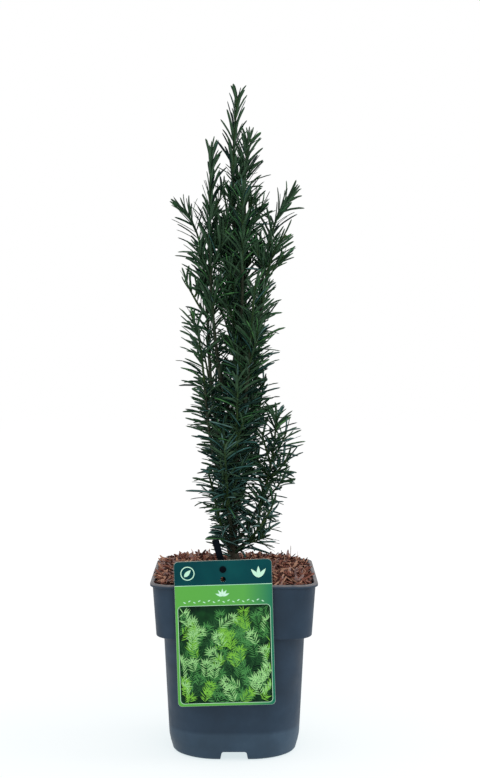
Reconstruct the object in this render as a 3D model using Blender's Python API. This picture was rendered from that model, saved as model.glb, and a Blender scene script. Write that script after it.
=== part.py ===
"""A slender upright english yew growing in a square nursery pot.

Run it with: blender --background --python part.py
Units are metres and +Z is up. The origin lies on the ground under the middle of the pot,
and the plant label hangs over the rim on the -Y side.
"""
import math
import random

import bmesh
import bpy
import numpy as np
from mathutils import Matrix, Vector
from mathutils.geometry import interpolate_bezier

SEED = 11
SEED_STRIDE = 31
GAP = 0.0003

# The pot: half widths and corner radii of its rounded square sections
POT_HEIGHT = 0.1500
RIM_HALF = 0.0697
RIM_DEPTH = 0.0030
RIM_CORNER = 0.0160
SKIRT_TOP_HALF = 0.0677
SKIRT_FOOT_HALF = 0.0650
SKIRT_FOOT_Z = 0.1040
SKIRT_CORNER = 0.0180
BODY_TOP_HALF = 0.0595
BODY_LOW_HALF = 0.0559
BODY_LOW_Z = 0.0200
BODY_CORNER = 0.0290
BASE_HALF = 0.0525
BASE_CORNER = 0.0380
EDGE_ROUND = 0.0022
WALL = 0.0015
FLOOR = 0.0095
EDGE_CHAMFER_SHARES = (0.3, 0.6, 1.8)
RIM_UNDERCUT_SHARE = 0.8
CORNER_STEPS = 6

# The four notches in the middle of the pot's lower edge
NOTCH_WIDTH = 0.0205
NOTCH_FLARE = 0.0014
NOTCH_HEIGHT = 0.0072
NOTCH_DEPTH = 0.0280

# The mulch that fills the pot
MULCH_EDGE_Z = POT_HEIGHT - 0.0025
MULCH_TOP_Z = 0.1570
MULCH_BUMP = 0.0014
MULCH_FULLNESS = 3
MULCH_RINGS = 6
TRUNK_SEAT_RADIUS = 0.0085

# The trunk sways gently from side to side on its way up to the fork
TRUNK_FOOT_Z = MULCH_TOP_Z + GAP
FORK_Z = 0.3900
TRUNK_FOOT_RADIUS = 0.0036
TRUNK_TIP_RADIUS = 0.0019
ROOT_FLARE = 0.0026
ROOT_FLARE_HEIGHT = 0.0090
FLARE_RING_HEIGHT = 0.0036
SWAY_CENTRE = 0.0027
SWAY = 0.0040
SWAY_PEAK_Z = 0.3330
SWAY_PERIOD = 0.3000
SWAY_DEPTH = 0.0025
TRUNK_SIDES = 10
TRUNK_STEP = 0.0110
TRUNK_SAMPLES = 80

# Boughs and the leafy stems that continue them
BOUGH_FOOT_RADIUS = 0.0018
BOUGH_TIP_RADIUS = 0.0014
BOUGH_SIDES = 6
BOUGH_STEP = 0.0080
STEM_FOOT_RADIUS = 0.0014
STEM_TIP_RADIUS = 0.0008
TWIG_FOOT_RADIUS = 0.0011
STEM_SIDES = 3
STEM_STEP = 0.0140
SHOOT_POINTS = 48
TWIG_POINTS = 24
LEADER_POINTS = 40
LOW_HANDLE = 0.34
HIGH_HANDLE = 0.22
DIRECTION_REACH = 0.0020
WELD_DISTANCE = 0.00001
LEADER_TIP_Z = 0.5530

# Each shoot leaves the trunk at a height, with a lean from upright in degrees, and ends at
# a tip (x, y, z) with a lean of its own. Its first stretch, of the bare length, is the bough.
# name: (foot height, foot lean, tip, tip lean, bare length)
SHOOTS = {
    "second_leader": (0.368, 16, (0.013, 0.012, 0.523), 26, 0.026),
    "left_spire": (0.264, 22, (-0.020, -0.010, 0.510), 0, 0.100),
    "left_high": (0.232, 30, (-0.044, 0.008, 0.462), 46, 0.090),
    "left_middle": (0.210, 36, (-0.038, -0.014, 0.374), 33, 0.056),
    "left_low": (0.168, 44, (-0.022, -0.016, 0.236), 28, 0.018),
    "right_high": (0.332, 24, (0.047, 0.012, 0.472), 46, 0.046),
    "right_fork": (0.312, 28, (0.042, -0.016, 0.437), 50, 0.052),
    "right_middle": (0.226, 24, (0.027, 0.012, 0.394), 12, 0.060),
    "right_low": (0.174, 50, (0.036, -0.004, 0.283), 2, 0.030),
    "right_foot": (0.166, 62, (0.034, -0.024, 0.214), 22, 0.016),
    "front_high": (0.352, 28, (0.007, -0.024, 0.472), 4, 0.030),
    "front_right": (0.266, 32, (0.018, -0.036, 0.398), 18, 0.044),
    "front_middle": (0.200, 34, (0.003, -0.030, 0.318), 8, 0.030),
    "front_low": (0.180, 50, (-0.008, -0.040, 0.262), 16, 0.022),
    "back_high": (0.340, 26, (-0.008, 0.034, 0.472), 16, 0.036),
    "back_middle": (0.256, 32, (0.006, 0.044, 0.410), 14, 0.050),
    "back_left": (0.224, 36, (-0.027, 0.034, 0.338), 22, 0.040),
    "back_right": (0.196, 40, (0.026, 0.036, 0.312), 18, 0.036),
    "back_low": (0.172, 50, (-0.010, 0.040, 0.246), 18, 0.022),
}

# Side twigs of the leafy stems, each with the share of the stem where it leaves, the
# compass bearing in degrees from +X, the lean from upright and the length.
TWIGS = {
    "left_high": [(0.34, 185, 38, 0.036)],
    "right_low": [(0.12, -10, 52, 0.030)],
    "right_foot": [(0.10, 10, 78, 0.020)],
    "back_middle": [(0.30, 60, 40, 0.030)],
}
TWIG_CHORD_LEAN = 0.80
TWIG_TIP_LEAN = 0.55

# Needles: larger than life and fewer than on the living plant
NEEDLE_LENGTH = 0.0250
NEEDLE_TIP_LENGTH = 0.0150
NEEDLE_WIDTH = 0.0042
NEEDLE_THICKNESS = 0.0010
NEEDLE_ARCH = 0.05
NEEDLE_ROLL = math.radians(65)
NEEDLE_SPACING = 0.0036
NEEDLE_FIRST = 0.0060
NEEDLE_SPREAD = math.radians(64)
NEEDLE_TIP_SPREAD = math.radians(22)
NEEDLE_JITTER = math.radians(7)
TIP_ZONE = 0.0130
GOLDEN_ANGLE = math.radians(137.5)
LENGTH_RANGE = (0.90, 1.05)
SHORTENING = (1.0, 0.85, 0.7, 0.55, 0.42)
FIT_SHARES = (0.3, 0.5, 0.7, 0.85, 1.0)
CLEARANCE = 2 * GAP
SPACE_SAMPLE = 0.0030

# The printed card, which hangs from a peg on a stake just inside the rim
CARD_WIDTH = 0.0800
CARD_HEIGHT = 0.1200
CARD_THICKNESS = 0.0007
CARD_CORNER = 0.0035
CARD_TILT = math.radians(1.7)
CARD_FRONT_Y = -0.0712
CARD_PEG_DROP = 0.0075
PEG_HOLE_RADIUS = 0.0024
PUNCHED_HOLE_RADIUS = 0.0022
PUNCHED_HOLE_DROP = 0.0082
PEG_PLACE = Vector((-0.0091, 0.0, 0.1636))
PEG_RADIUS = 0.0019
PEG_HEAD_RADIUS = 0.0028
PEG_HEAD_DEPTH = 0.0012
STAKE_WIDTH = 0.0060
STAKE_THICKNESS = 0.0020
STAKE_Y = -0.0610
STAKE_ABOVE_PEG = 0.0240
STAKE_BELOW_PEG = 0.0550
STAKE_LEAN = math.radians(15.7)
STAKE_POINT = 0.0100
STAKE_POINT_SHARE = 0.35
ROUND_SIDES = 12
CARD_CORNER_STEPS = 4


def clear_scene():
    for item in list(bpy.data.objects):
        bpy.data.objects.remove(item, do_unlink=True)


def new_collection(name):
    collection = bpy.data.collections.new(name)
    bpy.context.scene.collection.children.link(collection)
    return collection


def new_material(name, colour, roughness):
    material = bpy.data.materials.new(name)
    material.use_nodes = True
    shader = material.node_tree.nodes["Principled BSDF"]
    shader.inputs["Base Color"].default_value = (*colour, 1.0)
    shader.inputs["Roughness"].default_value = roughness
    shader.inputs["Metallic"].default_value = 0.0
    return material


def object_from(bm, name, collection, material=None):
    mesh = bpy.data.meshes.new(name)
    bm.to_mesh(mesh)
    bm.free()
    item = bpy.data.objects.new(name, mesh)
    collection.objects.link(item)
    if material is not None:
        mesh.materials.append(material)
    return item


def as_guide(item):
    item.hide_render = True
    item.display_type = "WIRE"
    return item


def boolean(item, operation, operand, solver="EXACT"):
    """Apply a Boolean with one object, or with a collection of them."""
    modifier = item.modifiers.new(operation.title(), "BOOLEAN")
    modifier.operation = operation
    modifier.solver = solver
    if isinstance(operand, bpy.types.Collection):
        modifier.operand_type = "COLLECTION"
        modifier.collection = operand
    else:
        modifier.object = operand
    graph = bpy.context.evaluated_depsgraph_get()
    mesh = bpy.data.meshes.new_from_object(item.evaluated_get(graph))
    item.modifiers.remove(modifier)
    item.data = mesh


def curve_to_mesh(item, name, collection, material=None):
    """Replace a curve object by its mesh, with the caps welded on."""
    graph = bpy.context.evaluated_depsgraph_get()
    mesh = bpy.data.meshes.new_from_object(item.evaluated_get(graph))
    bm = bmesh.new()
    bm.from_mesh(mesh)
    bmesh.ops.remove_doubles(bm, verts=bm.verts, dist=WELD_DISTANCE)
    bmesh.ops.recalc_face_normals(bm, faces=bm.faces)
    bm.transform(item.matrix_world)
    bpy.data.objects.remove(item, do_unlink=True)
    bpy.data.meshes.remove(mesh)
    return object_from(bm, name, collection, material)


class Path:
    """A smooth line through points, read by the distance along it."""

    def __init__(self, points):
        self.points = points
        self.marks = [0.0]
        for a, b in zip(points, points[1:]):
            self.marks.append(self.marks[-1] + (b - a).length)
        self.length = self.marks[-1]

    def at(self, distance):
        distance = min(max(distance, 0.0), self.length)
        for i in range(len(self.points) - 1):
            if distance <= self.marks[i + 1]:
                share = (distance - self.marks[i]) / (self.marks[i + 1] - self.marks[i])
                return self.points[i].lerp(self.points[i + 1], share)
        return self.points[-1].copy()

    def direction(self, distance):
        ahead = self.at(distance + DIRECTION_REACH)
        behind = self.at(distance - DIRECTION_REACH)
        return (ahead - behind).normalized()

    def part(self, start, end, step):
        """Evenly spaced points between two distances."""
        count = max(2, round((end - start) / step))
        return [self.at(start + (end - start) * i / count) for i in range(count + 1)]


def level_direction(degrees):
    return Vector((math.cos(math.radians(degrees)), math.sin(math.radians(degrees)), 0))


def leaning(bearing, lean):
    """Unit vector that leans from upright, in degrees, towards a level direction."""
    return bearing * math.sin(math.radians(lean)) + Vector((0, 0, math.cos(math.radians(lean))))


def trunk_axis(z):
    turn = 2 * math.pi * (z - SWAY_PEAK_Z) / SWAY_PERIOD
    return Vector((SWAY_CENTRE + SWAY * math.cos(turn), SWAY_DEPTH * math.sin(turn), z))


def trunk_radius(z):
    share = (z - TRUNK_FOOT_Z) / (FORK_Z - TRUNK_FOOT_Z)
    flare = ROOT_FLARE * math.exp(-(z - TRUNK_FOOT_Z) / ROOT_FLARE_HEIGHT)
    return TRUNK_FOOT_RADIUS + (TRUNK_TIP_RADIUS - TRUNK_FOOT_RADIUS) * share + flare


def arc(start, end, height, bearing, foot_lean, tip_lean):
    """One cubic curve from a foot to a tip with the given leans."""
    chord = (end - start).length
    low = start + leaning(bearing, foot_lean) * chord * LOW_HANDLE
    high = end - leaning(bearing, tip_lean) * chord * HIGH_HANDLE
    return Path(interpolate_bezier(start, low, high, end, height))


def shoot_path(foot_z, foot_lean, tip, tip_lean):
    start = trunk_axis(foot_z)
    end = Vector(tip)
    bearing = Vector((end.x - start.x, end.y - start.y, 0)).normalized()
    return arc(start, end, SHOOT_POINTS, bearing, foot_lean, tip_lean)


def trunk_line(low, high, count):
    """Points on the trunk's axis between two heights."""
    return [trunk_axis(low + (high - low) * i / count) for i in range(count + 1)]


def leader_path():
    return Path(trunk_line(FORK_Z, LEADER_TIP_Z, LEADER_POINTS))


def twig_path(stem, start, bearing_degrees, lean, length):
    """A side twig that bends up towards its tip."""
    bearing = level_direction(bearing_degrees)
    foot = stem.at(start)
    end = foot + leaning(bearing, lean * TWIG_CHORD_LEAN) * length
    return arc(foot, end, TWIG_POINTS, bearing, lean, lean * TWIG_TIP_LEAN)


def tube(name, points, radii, sides, collection, material=None):
    """A tapered limb: a curve that sweeps a small polygon, turned into a mesh."""
    outline = bpy.data.curves.new(name + "_section", "CURVE")
    outline.dimensions = "2D"
    outline.fill_mode = "NONE"
    polygon = outline.splines.new("POLY")
    polygon.points.add(sides - 1)
    polygon.use_cyclic_u = True
    for i, point in enumerate(polygon.points):
        turn = 2 * math.pi * i / sides
        point.co = (math.cos(turn), math.sin(turn), 0, 1)
    section = bpy.data.objects.new(name + "_section", outline)
    collection.objects.link(section)

    line = bpy.data.curves.new(name, "CURVE")
    line.dimensions = "3D"
    line.bevel_mode = "OBJECT"
    line.bevel_object = section
    line.use_fill_caps = True
    spline = line.splines.new("POLY")
    spline.points.add(len(points) - 1)
    for point, place, radius in zip(spline.points, points, radii):
        point.co = (*place, 1)
        point.radius = radius
    sweep = bpy.data.objects.new(name + "_sweep", line)
    collection.objects.link(sweep)
    limb = curve_to_mesh(sweep, name, collection, material)
    bpy.data.objects.remove(section, do_unlink=True)
    return limb


def tapered(count, first, last):
    return [first + (last - first) * i / (count - 1) for i in range(count)]


def rounded_square(half, corner, z):
    """One level ring of a rounded square, counter-clockwise from +X."""
    ring = []
    for quarter in range(4):
        middle = math.pi / 2 * quarter + math.pi / 4
        centre = Vector((math.cos(middle), math.sin(middle), 0)) * (half - corner) * math.sqrt(2)
        for step in range(CORNER_STEPS + 1):
            turn = math.pi / 2 * (quarter + step / CORNER_STEPS)
            edge = Vector((math.cos(turn), math.sin(turn), 0)) * corner
            ring.append(centre + edge + Vector((0, 0, z)))
    return ring


def loft(rings):
    """Skin a stack of equal rings and close both ends."""
    bm = bmesh.new()
    loops = [[bm.verts.new(point) for point in ring] for ring in rings]
    for low, high in zip(loops, loops[1:]):
        for i in range(len(low)):
            j = (i + 1) % len(low)
            bm.faces.new((low[i], low[j], high[j], high[i]))
    bm.faces.new(reversed(loops[0]))
    bm.faces.new(loops[-1])
    bmesh.ops.recalc_face_normals(bm, faces=bm.faces)
    return bm


def notch(number, cutters):
    """A tapered block that cuts one notch in the lower edge of the pot."""
    bm = bmesh.new()
    size = Matrix.Diagonal((NOTCH_DEPTH * 2, NOTCH_WIDTH, NOTCH_HEIGHT * 2, 1))
    bmesh.ops.create_cube(bm, size=1.0, matrix=size)
    for vert in bm.verts:
        if vert.co.z < 0:
            vert.co.y += math.copysign(NOTCH_FLARE * 2, vert.co.y)
    bm.transform(Matrix.Translation((BASE_HALF, 0, 0)))
    bm.transform(Matrix.Rotation(math.pi / 2 * number, 4, "Z"))
    return as_guide(object_from(bm, "notch_%d" % number, cutters))


def build_pot(parts, cutters, material):
    inset, low, high = (EDGE_ROUND * share for share in EDGE_CHAMFER_SHARES)
    outside = [
        (BASE_HALF - EDGE_ROUND, BASE_CORNER - EDGE_ROUND, 0),
        (BASE_HALF - inset, BASE_CORNER, low),
        (BASE_HALF + inset, BASE_CORNER, high),
        (BODY_LOW_HALF, BASE_CORNER, BODY_LOW_Z),
        (BODY_TOP_HALF, BODY_CORNER, SKIRT_FOOT_Z),
        (SKIRT_FOOT_HALF - EDGE_ROUND, SKIRT_CORNER, SKIRT_FOOT_Z),
        (SKIRT_FOOT_HALF, SKIRT_CORNER, SKIRT_FOOT_Z + EDGE_ROUND),
        (SKIRT_TOP_HALF, RIM_CORNER, POT_HEIGHT - RIM_DEPTH),
        (RIM_HALF, RIM_CORNER, POT_HEIGHT - RIM_DEPTH * RIM_UNDERCUT_SHARE),
        (RIM_HALF, RIM_CORNER, POT_HEIGHT),
    ]
    inside = [
        (SKIRT_TOP_HALF - WALL, RIM_CORNER - WALL, POT_HEIGHT),
        (SKIRT_FOOT_HALF - WALL, SKIRT_CORNER - WALL, SKIRT_FOOT_Z + WALL),
        (BODY_TOP_HALF - WALL, BODY_CORNER - WALL, SKIRT_FOOT_Z + WALL),
        (BODY_LOW_HALF - WALL, BASE_CORNER - WALL, BODY_LOW_Z),
        (BASE_HALF, BASE_CORNER, FLOOR),
    ]
    rings = [rounded_square(*level) for level in outside + inside]
    pot = object_from(loft(rings), "pot", parts, material)
    for number in range(4):
        boolean(pot, "DIFFERENCE", notch(number, cutters))
    return pot


def build_mulch(parts, stake_slot, material):
    """The filling of the pot, with a low bumpy crown and a flat seat for the trunk."""
    room = WALL + GAP
    rings = [
        rounded_square(BASE_HALF - GAP, BASE_CORNER, FLOOR + GAP),
        rounded_square(BODY_LOW_HALF - room, BASE_CORNER - room, BODY_LOW_Z + GAP),
        rounded_square(BODY_TOP_HALF - room, BODY_CORNER - room, SKIRT_FOOT_Z + room),
        rounded_square(SKIRT_FOOT_HALF - room, SKIRT_CORNER - room, SKIRT_FOOT_Z + room),
        rounded_square(SKIRT_TOP_HALF - room - 2 * GAP, RIM_CORNER, MULCH_EDGE_Z),
    ]
    rng = random.Random(SEED)
    seat = trunk_axis(TRUNK_FOOT_Z)
    outer = rings[-1]
    for level in range(1, MULCH_RINGS):
        share = level / MULCH_RINGS
        rise = 1 - (1 - share) ** MULCH_FULLNESS
        ring = []
        for point in outer:
            place = Vector((point.x, point.y, 0)).lerp(Vector((seat.x, seat.y, 0)), share)
            place.z = MULCH_EDGE_Z + (MULCH_TOP_Z - MULCH_EDGE_Z) * rise
            place.z += rng.uniform(-MULCH_BUMP, MULCH_BUMP) * (1 - share)
            ring.append(place)
        rings.append(ring)
    top = []
    for point in outer:
        spoke = Vector((point.x - seat.x, point.y - seat.y, 0)).normalized() * TRUNK_SEAT_RADIUS
        top.append(Vector((seat.x + spoke.x, seat.y + spoke.y, MULCH_TOP_Z)))
    rings.append(top)
    mulch = object_from(loft(rings), "mulch", parts, material)
    boolean(mulch, "DIFFERENCE", stake_slot)
    return mulch


def build_trunk(parts, material):
    count = round((FORK_Z - TRUNK_FOOT_Z) / TRUNK_STEP)
    heights = [TRUNK_FOOT_Z + (FORK_Z - TRUNK_FOOT_Z) * i / count for i in range(count + 1)]
    heights.insert(1, TRUNK_FOOT_Z + FLARE_RING_HEIGHT)
    points = [trunk_axis(z) for z in heights]
    # The second point stands straight above the first, so that the cut at the foot is level
    points[0] = Vector((points[1].x, points[1].y, TRUNK_FOOT_Z))
    radii = [trunk_radius(z) for z in heights]
    return tube("trunk", points, radii, TRUNK_SIDES, parts, material)


def trunk_clearance(cutters):
    """The trunk's shape and a thin gap around it, to cut the feet of the boughs."""
    count = round((FORK_Z - TRUNK_FOOT_Z) / TRUNK_STEP) + 1
    points = trunk_line(TRUNK_FOOT_Z - TRUNK_STEP, FORK_Z + TRUNK_STEP / 2, count)
    radii = [trunk_radius(max(point.z, TRUNK_FOOT_Z)) + GAP for point in points]
    return as_guide(tube("trunk_room", points, radii, TRUNK_SIDES, cutters))


def build_bough(name, path, bare, room, parts, material):
    points = path.part(0, bare, BOUGH_STEP)
    radii = tapered(len(points), BOUGH_FOOT_RADIUS, BOUGH_TIP_RADIUS)
    bough = tube("bough_" + name, points, radii, BOUGH_SIDES, parts, material)
    boolean(bough, "DIFFERENCE", room)
    return bough


class Mass:
    """One shoot's leafy part: a stem and its side twigs, in the space nearest to them."""

    def __init__(self, name, path, start, foot_radius):
        self.name = name
        self.stems = [(path, start, foot_radius)]
        for share, bearing, lean, length in TWIGS.get(name, []):
            foot = start + (path.length - start) * share
            self.stems.append((twig_path(path, foot, bearing, lean, length), 0.0, TWIG_FOOT_RADIUS))
        samples = []
        for line, begin, _ in self.stems:
            samples += line.part(begin, line.length, SPACE_SAMPLE)
        self.samples = np.array(samples)


def nearest(samples, point):
    return float(np.min(np.linalg.norm(samples - np.array(point), axis=1)))


def needle_fits(root, along, lift, length, own, others, limbs):
    """Whether a needle stays in its mass's space and clear of trunk and boughs."""
    for share in FIT_SHARES:
        fatness = 1 - abs(2 * share - 1)
        point = root + (along * share + lift * NEEDLE_ARCH * fatness) * length
        room = NEEDLE_WIDTH / 2 * fatness + CLEARANCE
        if nearest(others, point) - nearest(own, point) < 2 * room:
            return False
        for samples, radius in limbs:
            if nearest(samples, point) < radius + room:
                return False
        if point.z < MULCH_TOP_Z + MULCH_BUMP + room:
            return False
    return True


def needle_bmesh(root, along, lift, roll, length):
    """One needle: a stretched octahedron whose middle is lifted into a shallow arch."""
    bm = bmesh.new()
    size = Matrix.Diagonal((NEEDLE_WIDTH / 2, NEEDLE_THICKNESS / 2, length / 2, 1))
    bmesh.ops.create_uvsphere(bm, u_segments=4, v_segments=2, radius=1.0, matrix=size)
    bm.transform(Matrix.Rotation(roll, 4, "Z"))
    for vert in bm.verts:
        if abs(vert.co.z) < length / 4:
            vert.co.y += NEEDLE_ARCH * length
        vert.co.z += length / 2
    frame = Matrix((lift.cross(along), lift, along)).transposed().to_4x4()
    bm.transform(Matrix.Translation(root) @ frame)
    return bm


def keep_main_body(item):
    """Drop loose scraps and fill sealed hollows: only the largest shell stays."""
    bm = bmesh.new()
    bm.from_mesh(item.data)
    left = set(bm.verts)
    shells = []
    while left:
        shell = {left.pop()}
        edge_of_shell = set(shell)
        while edge_of_shell:
            reached = {e.other_vert(v) for v in edge_of_shell for e in v.link_edges}
            edge_of_shell = reached & left
            left -= edge_of_shell
            shell |= edge_of_shell
        shells.append(shell)
    shells.sort(key=len)
    loose = [vert for shell in shells[:-1] for vert in shell]
    bmesh.ops.delete(bm, geom=loose, context="VERTS")
    bm.to_mesh(item.data)
    bm.free()


def needle_places(mass, rng):
    """Yield the root, direction, upper side, roll and length of each needle of a mass."""
    for line, begin, _ in mass.stems:
        turn = rng.uniform(0, 2 * math.pi)
        distance = begin + NEEDLE_FIRST
        while distance < line.length:
            left = line.length - distance
            fullness = 1 - math.exp(-left / TIP_ZONE)
            spread = NEEDLE_TIP_SPREAD + (NEEDLE_SPREAD - NEEDLE_TIP_SPREAD) * fullness
            length = NEEDLE_TIP_LENGTH + (NEEDLE_LENGTH - NEEDLE_TIP_LENGTH) * fullness
            stem = line.direction(distance)
            side = Matrix.Rotation(turn, 3, stem) @ stem.orthogonal().normalized()
            spread += rng.uniform(-NEEDLE_JITTER, NEEDLE_JITTER)
            along = stem * math.cos(spread) + side * math.sin(spread)
            lift = stem * math.sin(spread) - side * math.cos(spread)
            roll = rng.uniform(-NEEDLE_ROLL, NEEDLE_ROLL)
            length *= rng.uniform(*LENGTH_RANGE)
            yield line.at(distance) - along * GAP, along, lift, roll, length
            turn += GOLDEN_ANGLE
            distance += NEEDLE_SPACING


def build_foliage(mass, masses, limbs, parts, material):
    """The stem, its twigs and all needles that fit, joined by one union on a collection."""
    rng = random.Random(SEED + len(mass.name) * SEED_STRIDE + sum(map(ord, mass.name)))
    others = np.concatenate([other.samples for other in masses if other is not mass])
    loose = new_collection("loose_" + mass.name)
    tubes = []
    for number, (line, begin, foot_radius) in enumerate(mass.stems):
        points = line.part(begin, line.length, STEM_STEP)
        radii = tapered(len(points), foot_radius, STEM_TIP_RADIUS)
        home = parts if number == 0 else loose
        tubes.append(tube("foliage_" + mass.name, points, radii, STEM_SIDES, home, material))
    foliage = tubes[0]
    for root, along, lift, roll, length in needle_places(mass, rng):
        for share in SHORTENING:
            if needle_fits(root, along, lift, length * share, mass.samples, others, limbs):
                needle = needle_bmesh(root, along, lift, roll, length * share)
                object_from(needle, "needle", loose, material)
                break
    boolean(foliage, "UNION", loose, solver="MANIFOLD")
    foliage.data.name = foliage.name
    keep_main_body(foliage)
    for item in list(loose.objects):
        bpy.data.objects.remove(item, do_unlink=True)
    bpy.data.collections.remove(loose)


def build_plant(parts, cutters, bark, needles):
    build_trunk(parts, bark)
    room = trunk_clearance(cutters)
    limbs = [(np.array(trunk_line(TRUNK_FOOT_Z, FORK_Z, TRUNK_SAMPLES)), TRUNK_FOOT_RADIUS)]
    masses = [Mass("leader", leader_path(), GAP, TRUNK_TIP_RADIUS)]
    for name, (foot_z, foot_lean, tip, tip_lean, bare) in SHOOTS.items():
        path = shoot_path(foot_z, foot_lean, tip, tip_lean)
        build_bough(name, path, bare, room, parts, bark)
        limbs.append((np.array(path.part(0, bare, SPACE_SAMPLE)), BOUGH_FOOT_RADIUS))
        masses.append(Mass(name, path, bare + GAP, STEM_FOOT_RADIUS))
    for mass in masses:
        build_foliage(mass, masses, limbs, parts, needles)


def card_outline(curve):
    """The card's rounded rectangle, centred on the curve's own origin."""
    outline = curve.splines.new("POLY")
    points = []
    for quarter in range(4):
        middle = math.pi / 2 * quarter + math.pi / 4
        x = math.copysign(CARD_WIDTH / 2 - CARD_CORNER, math.cos(middle))
        y = math.copysign(CARD_HEIGHT / 2 - CARD_CORNER, math.sin(middle))
        for step in range(CARD_CORNER_STEPS + 1):
            turn = math.pi / 2 * (quarter + step / CARD_CORNER_STEPS)
            points.append((x + CARD_CORNER * math.cos(turn), y + CARD_CORNER * math.sin(turn)))
    outline.points.add(len(points) - 1)
    for spot, (x, y) in zip(outline.points, points):
        spot.co = (x, y, 0, 1)
    outline.use_cyclic_u = True


def card_hole(curve, drop, radius):
    hole = curve.splines.new("POLY")
    hole.points.add(ROUND_SIDES - 1)
    for i, spot in enumerate(hole.points):
        turn = 2 * math.pi * i / ROUND_SIDES
        spot.co = (radius * math.cos(turn), CARD_HEIGHT / 2 - drop + radius * math.sin(turn), 0, 1)
    hole.use_cyclic_u = True


def build_card(parts, material):
    curve = bpy.data.curves.new("label_card", "CURVE")
    curve.dimensions = "2D"
    curve.fill_mode = "BOTH"
    curve.extrude = CARD_THICKNESS / 2
    card_outline(curve)
    card_hole(curve, CARD_PEG_DROP, PEG_HOLE_RADIUS)
    card_hole(curve, CARD_PEG_DROP + PUNCHED_HOLE_DROP, PUNCHED_HOLE_RADIUS)
    card = bpy.data.objects.new("label_card_curve", curve)
    parts.objects.link(card)
    upright = Matrix.Rotation(-CARD_TILT, 4, "Y") @ Matrix.Rotation(math.pi / 2, 4, "X")
    peg = PEG_PLACE + Vector((0, CARD_FRONT_Y + CARD_THICKNESS / 2, 0))
    middle = Matrix.Translation((0, -(CARD_HEIGHT / 2 - CARD_PEG_DROP), 0))
    card.matrix_world = Matrix.Translation(peg) @ upright @ middle
    bpy.context.view_layer.update()
    return curve_to_mesh(card, "label_card", parts, material)


def stake_blade(extra):
    """The flat strip of the stake, upright and pointed at its foot, with the peg at z = 0."""
    bm = bmesh.new()
    length = STAKE_ABOVE_PEG + STAKE_BELOW_PEG
    sides = (STAKE_WIDTH + 2 * extra, STAKE_THICKNESS + 2 * extra, length + 2 * extra)
    size = Matrix.Diagonal((*sides, 1))
    centre = Matrix.Translation((0, 0, (STAKE_ABOVE_PEG - STAKE_BELOW_PEG) / 2))
    bmesh.ops.create_cube(bm, size=1.0, matrix=centre @ size)
    shoulder = STAKE_POINT - STAKE_BELOW_PEG
    everything = bm.verts[:] + bm.edges[:] + bm.faces[:]
    bmesh.ops.bisect_plane(bm, geom=everything, plane_co=(0, 0, shoulder), plane_no=(0, 0, 1))
    for vert in bm.verts:
        if vert.co.z < shoulder - STAKE_POINT / 2:
            vert.co.x *= STAKE_POINT_SHARE
    return bm


def stake_placement():
    place = PEG_PLACE + Vector((0, STAKE_Y, 0))
    return Matrix.Translation(place) @ Matrix.Rotation(-STAKE_LEAN, 4, "Y")


def stake_slot(cutters):
    bm = stake_blade(GAP)
    bm.transform(stake_placement())
    return as_guide(object_from(bm, "stake_slot", cutters))


def build_stake(parts, cutters, material):
    bm = stake_blade(0)
    bm.transform(stake_placement())
    stake = object_from(bm, "label_stake", parts, material)
    head_back = CARD_FRONT_Y - GAP
    pieces = [
        ("peg_shaft", PEG_RADIUS, STAKE_Y, head_back - PEG_HEAD_DEPTH / 2),
        ("peg_head", PEG_HEAD_RADIUS, head_back, head_back - PEG_HEAD_DEPTH),
    ]
    level = Matrix.Rotation(math.pi / 2, 4, "X")
    for name, radius, back, front in pieces:
        bm = bmesh.new()
        middle = Matrix.Translation(PEG_PLACE + Vector((0, (back + front) / 2, 0)))
        bmesh.ops.create_cone(
            bm,
            cap_ends=True,
            segments=ROUND_SIDES,
            radius1=radius,
            radius2=radius,
            depth=back - front,
            matrix=middle @ level,
        )
        boolean(stake, "UNION", as_guide(object_from(bm, name, cutters)))
    return stake


def main():
    clear_scene()
    parts = new_collection("potted_english_yew")
    cutters = new_collection("cutters")
    plastic = new_material("pot plastic", (0.045, 0.060, 0.085), 0.45)
    mulch = new_material("bark mulch", (0.210, 0.085, 0.050), 0.90)
    bark = new_material("bark", (0.120, 0.070, 0.045), 0.85)
    needles = new_material("needles", (0.020, 0.075, 0.035), 0.40)
    card = new_material("card", (0.080, 0.330, 0.080), 0.35)
    stake = new_material("stake", (0.012, 0.012, 0.020), 0.50)
    build_pot(parts, cutters, plastic)
    build_mulch(parts, stake_slot(cutters), mulch)
    build_card(parts, card)
    build_stake(parts, cutters, stake)
    build_plant(parts, cutters, bark, needles)


main()
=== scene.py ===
"""Looks of the potted english yew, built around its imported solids.

Units are metres and +Z is up. The plant's limbs follow the same curves as the solids, and the
needles grow along them by the same rule, finer and at their real size.
"""
import math
import random

import bmesh
import bpy
import numpy as np
from mathutils import Matrix, Vector, noise
from mathutils.geometry import interpolate_bezier

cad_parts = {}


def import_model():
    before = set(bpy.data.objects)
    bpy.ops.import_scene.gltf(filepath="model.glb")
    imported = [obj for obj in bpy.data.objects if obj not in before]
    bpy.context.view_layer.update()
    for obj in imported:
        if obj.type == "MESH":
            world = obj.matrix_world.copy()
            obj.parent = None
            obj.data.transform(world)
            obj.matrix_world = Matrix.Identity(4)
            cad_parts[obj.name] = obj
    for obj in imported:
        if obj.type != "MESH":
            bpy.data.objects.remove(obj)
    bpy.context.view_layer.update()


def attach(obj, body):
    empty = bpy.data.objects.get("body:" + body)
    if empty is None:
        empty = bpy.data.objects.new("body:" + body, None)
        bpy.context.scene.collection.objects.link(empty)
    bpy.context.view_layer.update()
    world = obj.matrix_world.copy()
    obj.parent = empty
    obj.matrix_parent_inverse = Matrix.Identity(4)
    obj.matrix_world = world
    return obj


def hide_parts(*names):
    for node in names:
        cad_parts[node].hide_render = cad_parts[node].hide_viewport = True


SEED = 11

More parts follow.
